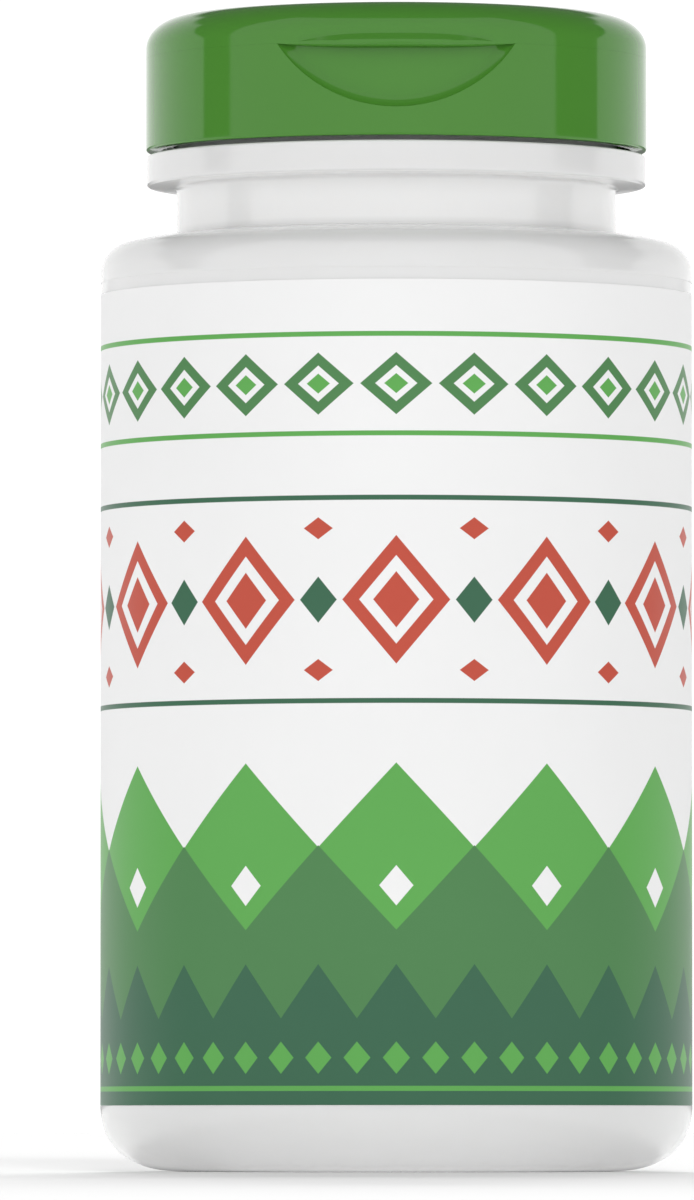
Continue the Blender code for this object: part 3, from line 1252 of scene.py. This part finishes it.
@dataclass
class Label:
    """The printed film wrapped round the body.

    Attributes:
        radius: Radius of its face.
        low: Its lower edge.
        high: Its upper edge.
        thickness: Its thickness.
        seam: Angle left free at the back.
        corner: Radius of its cut corners.
        corner_steps: Columns in each of them.
        columns: Columns of the rest.
    """

    radius: float = 29.985 * MM
    low: float = 6.7 * MM
    high: float = 88.8 * MM
    thickness: float = 0.06 * MM
    seam: float = math.radians(4)
    corner: float = 1.6 * MM
    corner_steps: int = 8
    columns: int = 240

    @property
    def turn(self) -> float:
        """The angle that the label takes up."""
        return math.tau - self.seam

    def trim(self, off_end: float) -> float:
        """How much a round corner takes off the height.

        Args:
            off_end: Distance from the label's end.

        Returns:
            The height that it takes off, above and below.
        """
        if off_end >= self.corner:
            return 0.0
        return self.corner - math.sqrt(self.corner ** 2 - (self.corner - off_end) ** 2)

    def shares(self) -> list[float]:
        """Places the columns along the label, closer together in the round corners.

        Returns:
            Their places, from 0 to 1.
        """
        length = self.radius * self.turn
        ends = [
            self.corner / length * (1 - math.cos(math.pi / 2 * step / self.corner_steps))
            for step in range(self.corner_steps)
        ]
        middle = [
            between(self.corner / length, 1 - self.corner / length, step / self.columns)
            for step in range(self.columns + 1)
        ]
        return ends + middle + [1 - share for share in reversed(ends)]

    def build(self, material: bpy.types.Material) -> bpy.types.Object:
        """Builds the label with its wrap UV map.

        Args:
            material: The printed material.

        Returns:
            The piece.
        """
        shape = bmesh.new()
        wrap = shape.loops.layers.uv.new("wrap")
        start = BACK + self.seam / 2
        length = self.radius * self.turn
        edges = []
        for share in self.shares():
            angle = start + share * self.turn
            trim = self.trim(min(share, 1 - share) * length)
            turned = (angle - BACK) / math.tau
            pair = []
            for height in (self.high - trim, self.low + trim):
                spot = (self.radius * math.cos(angle), self.radius * math.sin(angle), height)
                tall = (height - self.low) / (self.high - self.low)
                pair.append((shape.verts.new(spot), (turned, tall)))
            edges.append(pair)
        for (top, foot), (next_top, next_foot) in zip(edges, edges[1:]):
            corners = (top, foot, next_foot, next_top)
            face = shape.faces.new([vertex for vertex, _ in corners])
            for loop, (_, spot) in zip(face.loops, corners):
                loop[wrap].uv = spot
        film = finished_mesh("label_film", shape, SHARP)
        thickened(film, self.thickness)
        return dress(film, material, "bottle", "label_film", "label")


@dataclass
class HingeLand:
    """The flat land at the back of the closure, where the living hinge joins cap and lid.

    Attributes:
        flat: Distance of the land and of the hinge's axis behind the bottle's axis.
        parting: Height of the hinge's axis.
        run_out: Height above which the land is flat, and below which the wall is round.
        film_half: Half the hinge film's length.
        groove_depth: Depth of the groove at the parting line.
        groove_half: Half the groove's height.
        groove_end: Length over which the groove's ends fade.
        back_sine: Sine of the angle up to which a wall is too far round to be cut.
        columns: The closer columns there: their middle, half their width and their number.
    """

    flat: float = 24.6 * MM
    parting: float = 112.8 * MM
    run_out: Pair = (109.6 * MM, 108.7 * MM)
    film_half: float = 5.2 * MM
    groove_depth: float = 0.3 * MM
    groove_half: float = 0.55 * MM
    groove_end: float = 0.3 * MM
    back_sine: float = 0.9
    columns: tuple[float, float, int] = (BACK, math.radians(16), 48)

    def trimmed(self, angle: float, radius: float, height: float) -> float:
        """Cuts a wall's radius back to the land and the groove.

        Args:
            angle: Angle of the point.
            radius: Radius of the wall there.
            height: Height of the point.

        Returns:
            The radius of the cut wall.
        """
        sine = math.sin(angle)
        if sine < self.back_sine:
            return radius
        land = self.flat / sine
        amount = smooth((height - self.run_out[1]) / (self.run_out[0] - self.run_out[1]))
        cut = radius - max(0.0, radius - land) * amount
        inside = self.film_half + self.groove_end - abs(radius * math.cos(angle))
        off = abs(height - self.parting)
        if inside > 0 and off < self.groove_half:
            floor = land - self.groove_depth * (1 - off / self.groove_half)
            cut = min(cut, between(cut, floor, smooth(inside / self.groove_end)))
        return cut


@dataclass
class Closure:
    """The screw cap: skirt, thumb notch, deck, dispensing hole and inner thread.

    Attributes:
        land: The hinge land at the back.
        radius: Outer radius of the skirt.
        bore: Inner radius of the skirt.
        low: Lower edge of the skirt.
        ledge: Height of the ledge that the lid closes on.
        plateau_radius: Radius of the raised deck.
        deck_top: Top of the deck.
        deck_low: Underside of the deck.
        seat_radius: Radius at which the haunch meets the deck.
        haunch: Height of the haunch.
        hole_radius: Radius of the dispensing hole.
        hole_shift: Place of the hole's centre along Y.
        spout_wall: Wall of the rim round the hole.
        spout_top: Top of that rim.
        notch_arc: Radius of the notch's lower edge.
        notch_low: Lowest point of the notch.
        notch_depth: Depth of its floor.
        notch_fillet: Width of the curve between its edge and its floor.
        notch_power: Squareness of that curve.
        notch_bias: How much closer together the rings lie towards the notch's edge.
        low_fillet: Rounding of the skirt's outer lower edge.
        thread: The thread inside the skirt, 1.7 mm below the bottle's.
    """

    land: HingeLand
    radius: float = 25.42 * MM
    bore: float = 23.65 * MM
    low: float = 103.47 * MM
    ledge: float = 112.8 * MM
    plateau_radius: float = 23.55 * MM
    deck_top: float = 113.9 * MM
    deck_low: float = 112.5 * MM
    seat_radius: float = 22.3 * MM
    haunch: float = 1.2 * MM
    hole_radius: float = 14.0 * MM
    hole_shift: float = -4.5 * MM
    spout_wall: float = 1.2 * MM
    spout_top: float = 114.9 * MM
    notch_arc: float = 14.16 * MM
    notch_low: float = 106.28 * MM
    notch_depth: float = 0.85 * MM
    notch_fillet: float = 1.1 * MM
    notch_power: float = 1.4
    notch_bias: float = 1.8
    low_fillet: float = 0.25 * MM
    thread: Thread = Thread(
        ThreadSide.INWARD, (104.6 - 1.7) * MM + PITCH * 150 / 360, math.radians(150), 1.2
    )

    @property
    def notch_centre(self) -> float:
        """Height of the centre of the notch's arc."""
        return self.notch_low + self.notch_arc

    @property
    def notch_half(self) -> float:
        """Half the notch's width at the ledge."""
        return math.sqrt(self.notch_arc ** 2 - (self.notch_centre - self.ledge) ** 2)

    def rings(self) -> list[Ring]:
        """Runs round the cap from the hole's lower edge, up and back to it.

        Returns:
            The rings, which close on themselves.
        """
        rim = self.hole_radius + self.spout_wall
        hole = self.hole_shift
        return outline([
            Corner(self.hole_radius, self.deck_low, 0.3 * MM, hole),
            Corner(self.hole_radius, self.spout_top, 0.4 * MM, hole),
            Corner(rim, self.spout_top, 0.6 * MM, hole),
            Corner(rim, self.deck_top, 0.4 * MM, hole, steps=4),
            Corner(self.plateau_radius, self.deck_top, 0.5 * MM),
            Corner(self.plateau_radius, self.ledge, 0.12 * MM),
            Corner(self.radius, self.ledge, zone=Zone.WALL_ABOVE, steps=56),
            Corner(self.radius, self.notch_low, zone=Zone.WALL_BELOW, steps=28),
            Corner(self.radius, self.low, self.low_fillet),
            Corner(self.bore, self.low, 0.35 * MM, zone=Zone.THREAD, steps=56),
            Corner(self.bore, self.deck_low - self.haunch, 0.4 * MM, zone=Zone.THREAD),
            Corner(self.seat_radius, self.deck_low, 0.4 * MM, steps=3),
        ], closed=True)

    def notch_edge(self, across: float, front: bool) -> float:
        """Height of the notch's lower edge.

        Args:
            across: Distance from the middle.
            front: Whether the point is on the front half.

        Returns:
            The edge's height, or the ledge's where there is no notch.
        """
        if not front or across >= self.notch_half:
            return self.ledge
        return self.notch_centre - math.sqrt(self.notch_arc ** 2 - across ** 2)

    def warp(self, angle: float, ring: Ring) -> Pair:
        """Raises the inner thread, sinks the thumb notch and flattens the hinge land.

        Args:
            angle: Angle of the point.
            ring: Its ring.

        Returns:
            Its radius and height.
        """
        if ring.zone is Zone.THREAD:
            return ring.radius + self.thread.rise(angle, ring.height), ring.height
        if ring.zone not in (Zone.WALL_ABOVE, Zone.WALL_BELOW):
            return ring.radius, ring.height
        across = abs(self.radius * math.cos(angle))
        edge = self.notch_edge(across, math.sin(angle) < 0)
        if ring.zone is Zone.WALL_BELOW:
            foot = self.low + self.low_fillet
            share = (ring.height - foot) / (self.notch_low - foot)
            height = between(foot, edge, share)
            return self.land.trimmed(angle, ring.radius, height), height
        share = (ring.height - self.notch_low) / (self.ledge - self.notch_low)
        height = between(edge, self.ledge, share ** self.notch_bias)
        radius = ring.radius - self.sunk(across, height) if math.sin(angle) < 0 else ring.radius
        return self.land.trimmed(angle, radius, height), height

    def sunk(self, across: float, height: float) -> float:
        """Depth of the thumb notch at a point of the skirt.

        Args:
            across: Distance from the middle.
            height: Height of the point.

        Returns:
            How far the skirt is sunk there.
        """
        inside = self.notch_arc - math.hypot(across, self.notch_centre - height)
        if inside <= 0:
            return 0.0
        left = 1.0 - min(1.0, inside / self.notch_fillet)
        return self.notch_depth * (1.0 - left ** self.notch_power) ** (1 / self.notch_power)

    def build(self, green: bpy.types.Material) -> list[bpy.types.Object]:
        """Builds the cap.

        Args:
            green: The cap's material.

        Returns:
            The pieces.
        """
        corner = math.acos(self.notch_half / self.radius)
        front = (FRONT, BACK - corner, 128)
        angles = column_angles(176, [front, self.land.columns])
        body = TurnedSkin("cap_body", self.rings(), angles, closed=True, warp=self.warp).build()
        return [dress(body, green, "cap", "cap_green", "cap")]


@dataclass
class Lid:
    """The flip-top lid, with its thumb lip and the plug ring underneath.

    Attributes:
        land: The hinge land at the back.
        radius: Outer radius.
        low: Its lower edge.
        top: Its flat top.
        wall: Thickness of its side.
        roof: Thickness of its top.
        edge_run: Width of the rounded top edge.
        edge_drop: Height of the rounded top edge.
        edge_power: Squareness of the rounded top edge.
        lip_half: Half the width of the thumb lip.
        lip_reach: How far the lip stands out.
        lip_face: Height of its upright face.
        lip_slope: Height of the slope on top of it.
        lip_droop: How far it hangs below the parting line.
        lip_power: Squareness of the lip, seen from above.
        droop_half: Half the width over which the side hangs into the notch.
        droop_power: Squareness of that stretch, seen from the front.
        edge_round: Radius of the lip's lower edge.
        edge_ease: How soon that radius is full, as the side comes to hang into the notch.
        snap_height: Height of the snap bead inside the side.
        snap_half: Half the bead's height.
        snap_rise: How far the bead stands out.
        snap_span: Half the angle that it takes up at the front.
        snap_fade: Angle over which its ends fade.
        plug_radius: Outer radius of the plug ring.
        plug_wall: Wall of the plug ring.
        plug_low: Lower edge of the plug ring.
        plug_shift: Place of its centre along Y.
        rib_count: Ribs under the roof.
        rib_size: A rib's length outward, its width and its height.
        rib_radius: Distance of a rib's middle from the plug's centre.
    """

    land: HingeLand
    radius: float = 25.42 * MM
    low: float = 112.805 * MM
    top: float = 117.1 * MM
    wall: float = 1.42 * MM
    roof: float = 1.2 * MM
    edge_run: float = 4.5 * MM
    edge_drop: float = 3.3 * MM
    edge_power: float = 2.1
    lip_half: float = 9.7 * MM
    lip_reach: float = 0.55 * MM
    lip_face: float = 0.1 * MM
    lip_slope: float = 0.82 * MM
    lip_droop: float = 0.52 * MM
    lip_power: float = 3.7
    droop_half: float = 11.9 * MM
    droop_power: float = 3.3
    edge_round: float = 0.58 * MM
    edge_ease: float = 1.2
    snap_height: float = 113.35 * MM
    snap_half: float = 0.35 * MM
    snap_rise: float = 0.2 * MM
    snap_span: float = math.radians(30)
    snap_fade: float = math.radians(4)
    plug_radius: float = 13.65 * MM
    plug_wall: float = 1.05 * MM
    plug_low: float = 113.2 * MM
    plug_shift: float = -4.5 * MM
    rib_count: int = 8
    rib_size: Triple = (9.6 * MM, 0.8 * MM, 0.9 * MM)
    rib_radius: float = 7.6 * MM

    def rings(self) -> list[Ring]:
        """Runs out over the top, down the side, up the inside and over the plug.

        In the lip's three zones a ring's height is its share of the way down the zone.

        Returns:
            The rings.
        """
        flat = self.radius - self.edge_run
        side_top = self.top - self.edge_drop
        bore = self.radius - self.wall
        roof_low = self.top - self.roof
        plug = self.plug_shift
        plug_inner = self.plug_radius - self.plug_wall
        crown = [Ring(flat * step / 6, self.top) for step in range(6)]
        slope_top = self.low + self.lip_face + self.lip_slope
        curve = squarish(
            (flat, side_top), self.edge_run, self.edge_drop, 32, self.edge_power, Zone.LID_SIDE
        )
        edge = [ring for ring in curve if ring.height > slope_top + 0.01 * MM]
        slope = [Ring(self.radius, step / 6, zone=Zone.LIP_SLOPE) for step in range(7)]
        face = [Ring(self.radius, step / 4, zone=Zone.LIP_FACE) for step in range(1, 5)]
        rounding = [Ring(self.radius, step / 10, zone=Zone.LIP_EDGE) for step in range(1, 11)]
        inside = outline([
            Corner(self.radius - 0.45 * MM, self.low),
            Corner(bore, self.low, 0.15 * MM, zone=Zone.SNAP, steps=16),
            Corner(bore, roof_low, 0.9 * MM, steps=3),
            Corner(self.plug_radius, roof_low, 0.4 * MM, plug),
            Corner(self.plug_radius, self.plug_low, 0.35 * MM, plug),
            Corner(plug_inner, self.plug_low, 0.35 * MM, plug),
            Corner(plug_inner, roof_low, 0.4 * MM, plug, steps=3),
            Corner(0.0, roof_low, 0.0, plug),
        ], closed=False)
        return crown + edge + slope + face + rounding + inside

    def warp(self, angle: float, ring: Ring) -> Pair:
        """Draws out the thumb lip, raises the snap bead and flattens the hinge land.

        Args:
            angle: Angle of the point.
            ring: Its ring.

        Returns:
            Its radius and height.
        """
        if ring.zone is Zone.SNAP:
            bead = smooth(1 - abs(ring.height - self.snap_height) / self.snap_half)
            front = smooth((self.snap_span - apart(angle, FRONT)) / self.snap_fade)
            return ring.radius - self.snap_rise * bead * front, ring.height
        if ring.zone is Zone.PLAIN:
            return self.land.trimmed(angle, ring.radius, ring.height), ring.height
        radius, height = self.lipped(ring, angle)
        return self.land.trimmed(angle, radius, height), height

    def bulge(self, angle: float, half: float, depth: float, power: float) -> float:
        """A form that stands out at the front and runs out to either side.

        Args:
            angle: Angle of the point.
            half: Half the form's width.
            depth: How far it stands out in the middle.
            power: How square it is.

        Returns:
            How far it stands out at the point.
        """
        across = abs(self.radius * math.cos(angle))
        if math.sin(angle) > 0 or across >= half:
            return 0.0
        return depth * (1 - (across / half) ** power)

    def lipped(self, ring: Ring, angle: float) -> Pair:
        """Places a ring of the side on the thumb lip.

        Args:
            ring: The ring.
            angle: The angle of the point.

        Returns:
            Its radius and height there.
        """
        if ring.zone is Zone.LID_SIDE:
            return ring.radius, ring.height
        reach = self.bulge(angle, self.lip_half, self.lip_reach, self.lip_power)
        droop = self.bulge(angle, self.droop_half, self.lip_droop, self.droop_power)
        rounded = self.edge_round * smooth(droop / self.lip_droop * self.edge_ease)
        face_top = self.low + self.lip_face
        face_foot = self.low - droop + rounded
        if ring.zone is Zone.LIP_SLOPE:
            slope_top = face_top + self.lip_slope * reach / self.lip_reach
            return ring.radius + reach * ring.height, between(slope_top, face_top, ring.height)
        if ring.zone is Zone.LIP_FACE:
            return ring.radius + reach, between(face_top, face_foot, ring.height)
        bend = math.pi / 2 * ring.height
        return (
            ring.radius + reach - rounded * (1 - math.cos(bend)),
            face_foot - rounded * math.sin(bend),
        )

    def build(self, green: bpy.types.Material) -> list[bpy.types.Object]:
        """Builds the lid and the ribs under its roof.

        Args:
            green: The lid's material.

        Returns:
            The pieces.
        """
        lip = (FRONT, math.asin(self.droop_half / self.radius), 128)
        angles = column_angles(192, [lip, self.land.columns])
        shell = TurnedSkin("lid_shell", self.rings(), angles, warp=self.warp).build()
        dress(shell, green, "lid", "lid_green", "lid")
        ribs = RibRing(
            "lid_ribs", self.rib_count, self.rib_radius, self.rib_size,
            self.top - self.roof - 0.35 * MM, self.plug_shift, math.pi / self.rib_count,
        ).build(green)
        dress(ribs, green, "lid", "lid_green")
        return [shell, ribs]


@dataclass
class LivingHinge:
    """The slender web that bends between the cap and the lid.

    Attributes:
        land: The hinge land that it lies on.
        thickness: Thickness of the web.
        reach: How far it runs up the lid and down the cap from the axis.
        bow: How far it stands out of the land at the axis.
        sunk: How far its ends lie in the land.
        bent: Share of the reach over which it bends.
        columns: Steps along its length.
        rows: Steps across it.
    """

    land: HingeLand
    thickness: float = 0.3 * MM
    reach: float = 0.62 * MM
    bow: float = 0.1 * MM
    sunk: float = 0.05 * MM
    bent: float = 0.6
    columns: int = 40
    rows: int = 24

    def build(self, green: bpy.types.Material) -> bpy.types.Object:
        """Builds the web as a closed strip that bows out of the land between the cap and the lid.

        Args:
            green: The web's material.

        Returns:
            The piece.
        """
        shape = bmesh.new()
        grid = []
        for column in range(self.columns + 1):
            x = between(-self.land.film_half, self.land.film_half, column / self.columns)
            line = []
            for row in range(self.rows + 1):
                up = between(-1.0, 1.0, row / self.rows)
                y = self.land.flat + self.bow * (1 - up * up) - self.sunk
                line.append(shape.verts.new((x, y, self.land.parting + self.reach * up)))
            grid.append(line)
        for line, beside in zip(grid, grid[1:]):
            for row in range(self.rows):
                shape.faces.new((line[row], line[row + 1], beside[row + 1], beside[row]))
        web = finished_mesh("hinge_web", shape, SHARP)
        if any(face.normal.y < 0 for face in web.data.polygons):
            web.data.flip_normals()
        thickened(web, self.thickness)
        web.data.materials.append(green)
        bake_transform(web)
        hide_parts("hinge_film")
        return web


@dataclass
class SealingRing:
    """The foam ring between the cap's deck and the bottle's mouth.

    Attributes:
        inner: Inner radius.
        outer: Outer radius.
        low: Its underside.
        high: Its top.
    """

    inner: float = 20.2 * MM
    outer: float = 22.0 * MM
    low: float = 111.3 * MM
    high: float = 112.2 * MM

    def build(self, foam: bpy.types.Material) -> bpy.types.Object:
        """Builds the ring.

        Args:
            foam: Its material.

        Returns:
            The piece.
        """
        rings = outline([
            Corner(self.inner, self.high, 0.12 * MM),
            Corner(self.outer, self.high, 0.12 * MM),
            Corner(self.outer, self.low, 0.12 * MM),
            Corner(self.inner, self.low, 0.12 * MM),
        ], closed=True, arc_steps=4)
        ring = TurnedSkin("seal_foam", rings, column_angles(160), closed=True).build()
        return dress(ring, foam, "seal", "seal_foam", "sealing_ring")


@dataclass(frozen=True)
class PaleFloor:
    """The finish of the floor, whose own light differs for the camera and for the object.

    An edge is given as its place and its softness.

    Attributes:
        colour: Its base colour.
        shown: Its own light as the camera sees it.
        glow: Its own light as the object sees it.
        patch: What a patch in front of the object adds to that.
        patch_place: Middle of the patch, on the stretched floor.
        patch_stretch: How the floor is stretched for it along each axis.
        patch_radius: Radius of the patch.
        far: Edge in the distance behind the object, past which the floor is darker for it.
        wedge: Edge in width over distance, within which it is.
        darkness: How much darker it is there.
    """

    colour: Triple = (0.4, 0.4, 0.4)
    shown: float = 0.14
    glow: float = 0.25
    patch: float = 0.42
    patch_place: Triple = (0.0, -60.0 * MM, 0.0)
    patch_stretch: Triple = (0.55, 1.0, 1.0)
    patch_radius: float = 45.0 * MM
    far: Pair = (0.5, 0.4)
    wedge: Pair = (0.6, 0.3)
    darkness: float = 0.8

    def build(self) -> bpy.types.Material:
        """Makes the material.

        Returns:
            The material.
        """
        material, paint, shader = new_material("pale_floor")
        seen = paint.node("ShaderNodeLightPath").outputs["Is Camera Ray"]
        place = paint.place()
        stretched = paint.vector("MULTIPLY", place, self.patch_stretch)
        away = paint.vector("DISTANCE", stretched, self.patch_place, "Value")
        near = paint.scaled(away, -1.0 / self.patch_radius, 1.0)
        bounce = paint.scaled(paint.math("MAXIMUM", near, 0.0), self.patch, self.glow)
        back = paint.axis(place, "Y")
        aslant = paint.math("DIVIDE", paint.math("ABSOLUTE", paint.axis(place, "X")), back)
        within = paint.minus(1.0, paint.edge(aslant, *self.wedge))
        far = paint.times(paint.edge(back, *self.far), within)
        dim = paint.times(far, paint.scaled(seen, -self.darkness, self.darkness))
        kept = paint.times(bounce, paint.minus(1.0, dim))
        paint.feed(
            shader, Base_Color=paint.mix(dim, self.colour, (0.0, 0.0, 0.0)), Roughness=0.8,
            Specular_IOR_Level=0.0, Emission_Color=(1.0, 1.0, 1.0, 1.0),
            Emission_Strength=paint.scaled(seen, paint.minus(self.shown, kept), kept),
        )
        return material


@dataclass(frozen=True)
class LowLamp:
    """A low soft lamp that lights the floor alone, so that the object's shadow runs out softly.

    Attributes:
        name: Its name.
        towards: Direction from the object to the lamp.
        power: Its strength.
        spread: Its apparent size in degrees.
    """

    name: str
    towards: Triple
    power: float
    spread: float

    def build(self, floor: bpy.types.Object) -> None:
        """Makes the lamp.

        Args:
            floor: The floor.
        """
        data = bpy.data.lights.new(self.name, "SUN")
        data.energy = self.power
        data.angle = math.radians(self.spread)
        lamp = placed(self.name, data)
        lamp.rotation_euler = Vector(self.towards).to_track_quat("Z", "Y").to_euler()
        lit = bpy.data.collections.new(f"{self.name}_lights")
        lit.objects.link(floor)
        lamp.light_linking.receiver_collection = lit


@dataclass(frozen=True)
class Room:
    """The light all round: bright walls in front and behind, dim sides and a dim ceiling.

    A direction's facing is 1 straight to the camera's side and -1 straight away from it, and the
    ceiling's height is the sine of its angle. An edge is given as its place and its softness, and
    a slope as its rise and its start.

    Attributes:
        shown: Brightness as the camera sees it.
        dim: Brightness of the sides and the ceiling.
        bright: What the walls add to that.
        front: Edge of the front wall, in facing.
        front_skew: How far that edge is turned to the right.
        behind: Edge of the back wall, in facing.
        behind_skew: How far that edge is turned to the right.
        front_top: Height of the front wall.
        back_top: Greatest height of the back wall.
        side_slope: Slope of the back wall's height towards the sides.
        turn_slope: Slope of its height in facing.
        top_soft: Softness of the walls' upper edge.
    """

    shown: float = 1.1
    dim: float = 0.17
    bright: float = 1.0
    front: Pair = (0.162, 0.04)
    front_skew: float = -0.034
    behind: Pair = (-0.223, 0.012)
    behind_skew: float = 0.053
    front_top: float = 0.88
    back_top: float = 0.571
    side_slope: Pair = (0.7, 0.28)
    turn_slope: Pair = (-1.19, -0.165)
    top_soft: float = 0.04

    def build(self) -> None:
        """Makes it the scene's world."""
        world = bpy.data.worlds.new("soft_room")
        bpy.context.scene.world = world
        world.use_nodes = True
        paint = Paint(world.node_tree)
        way = paint.node("ShaderNodeTexCoord").outputs["Generated"]
        x, y, z = (paint.axis(way, name) for name in "XYZ")
        level = paint.math("SQRT", paint.minus(1.0001, paint.times(z, z)))  # never 0
        facing = paint.math("DIVIDE", paint.times(y, -1.0), level)
        right = paint.math("SIGN", x)
        front = paint.edge(paint.scaled(right, self.front_skew, facing), *self.front)
        turned = paint.scaled(right, self.behind_skew, facing)
        behind = paint.minus(1.0, paint.edge(turned, *self.behind))
        aside = paint.math("DIVIDE", paint.math("ABSOLUTE", x), level)
        top = paint.math("MINIMUM", paint.scaled(aside, *self.side_slope), self.back_top)
        top = paint.math("MINIMUM", top, paint.scaled(turned, *self.turn_slope))
        top = paint.scaled(front, paint.minus(self.front_top, top), top)
        below = paint.minus(1.0, paint.edge(paint.minus(z, top), 0.0, self.top_soft))
        walls = paint.times(paint.math("ADD", front, behind), below)
        light = paint.scaled(walls, self.bright, self.dim)
        seen = paint.node("ShaderNodeLightPath").outputs["Is Camera Ray"]
        paint.feed(
            world.node_tree.nodes["Background"], Color=(1.0, 1.0, 1.0, 1.0),
            Strength=paint.scaled(seen, paint.minus(self.shown, light), light),
        )


@dataclass
class Studio:
    """The camera, the plain pale floor and the soft light.

    Attributes:
        distance: From the camera to the bottle's axis.
        eye: Height of the camera.
        aim: The point that the middle of the picture shows.
        half_height: Half the picture's height divided by the distance.
        sensor: Width of the camera's sensor in millimetres.
        clip: The nearest and the furthest distance that it sees.
        floor_size: Side of the floor.
        lamps: The lamps that light the floor.
    """

    distance: float = 1.4315
    eye: float = 4.24 * MM
    aim: Triple = (-5.0 * MM, 0.0, 57.95 * MM)
    half_height: float = 600 / 14121
    sensor: float = 36.0
    clip: Pair = (0.05, 60.0)
    floor_size: float = 40.0
    lamps: tuple[LowLamp, ...] = (
        LowLamp("back_lamp", (0.0, 1.0, 0.29), 5.6, 10.0),
        LowLamp("high_lamp", (0.03, 1.0, 0.58), 3.6, 24.0),
        LowLamp("front_lamp", (0.05, -1.0, 0.14), 11.0, 9.0),
    )

    def build(self) -> None:
        """Makes the camera, the floor and the light, with colours shown as they are."""
        bpy.context.scene.view_settings.view_transform = "Standard"
        self.camera()
        floor = self.floor()
        for lamp in self.lamps:
            lamp.build(floor)
        Room().build()

    def camera(self) -> None:
        """Stands the camera low in front of the bottle, as the photograph has it."""
        data = bpy.data.cameras.new("camera")
        data.sensor_width = self.sensor
        data.lens = self.sensor / 2 / self.half_height
        data.clip_start, data.clip_end = self.clip
        camera = placed("camera", data)
        camera.location = (0.0, -self.distance, self.eye)
        look = Vector(self.aim) - camera.location
        camera.rotation_euler = look.to_track_quat("-Z", "Y").to_euler()
        bpy.context.scene.camera = camera

    def floor(self) -> bpy.types.Object:
        """Lays a large pale floor.

        Returns:
            The floor.
        """
        shape = bmesh.new()
        bmesh.ops.create_grid(shape, x_segments=1, y_segments=1, size=self.floor_size / 2)
        mesh = bpy.data.meshes.new("floor")
        shape.to_mesh(mesh)
        shape.free()
        mesh.materials.append(PaleFloor().build())
        floor = placed("floor", mesh)
        return floor


def report(piece: bpy.types.Object) -> None:
    """Logs one finished piece."""
    LOG.info("built %s: %d faces", piece.name, len(piece.data.polygons))


def main() -> None:
    """Builds the pieces in order and logs each one's face count."""
    logging.basicConfig(level=logging.INFO)
    for found in list(bpy.data.objects):
        bpy.data.objects.remove(found, do_unlink=True)
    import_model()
    Studio().build()
    skin = moulded_group()
    # The white plastic's neck band is painted lighter, as painted light.
    white = MouldedPlastic(
        "white_plastic", (0.712, 0.712, 0.709), (0.732, 0.732, 0.732), 0.14, gloss_spread=0.04,
        depth=0.3, scuff_height=1.5 * MM, specular=0.75, painted_light_heights=(94.6 * MM, 99.93 * MM),
    ).build(skin)
    green = MouldedPlastic(
        "green_plastic", (0.0597, 0.219, 0.0248), (0.0637, 0.227, 0.0268), 0.07, ripple=0.001,
        gloss_spread=0.04, specular=0.36,
    ).build(skin)
    foam = FoamFinish("white_foam", (0.75, 0.74, 0.7), (0.5, 0.49, 0.45)).build()
    label = Label()
    around, tall = math.tau * label.radius / MM, (label.high - label.low) / MM
    printed = LabelPrint(around, tall).build("printed_film")
    land = HingeLand()
    pieces = [
        *Bottle().build(white),
        label.build(printed),
        SealingRing().build(foam),
        *Closure(land).build(green),
        *Lid(land).build(green),
        LivingHinge(land).build(green),
    ]
    for piece in pieces:
        report(piece)
    bpy.context.view_layer.update()
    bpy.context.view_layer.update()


if __name__ == "__main__":
    main()
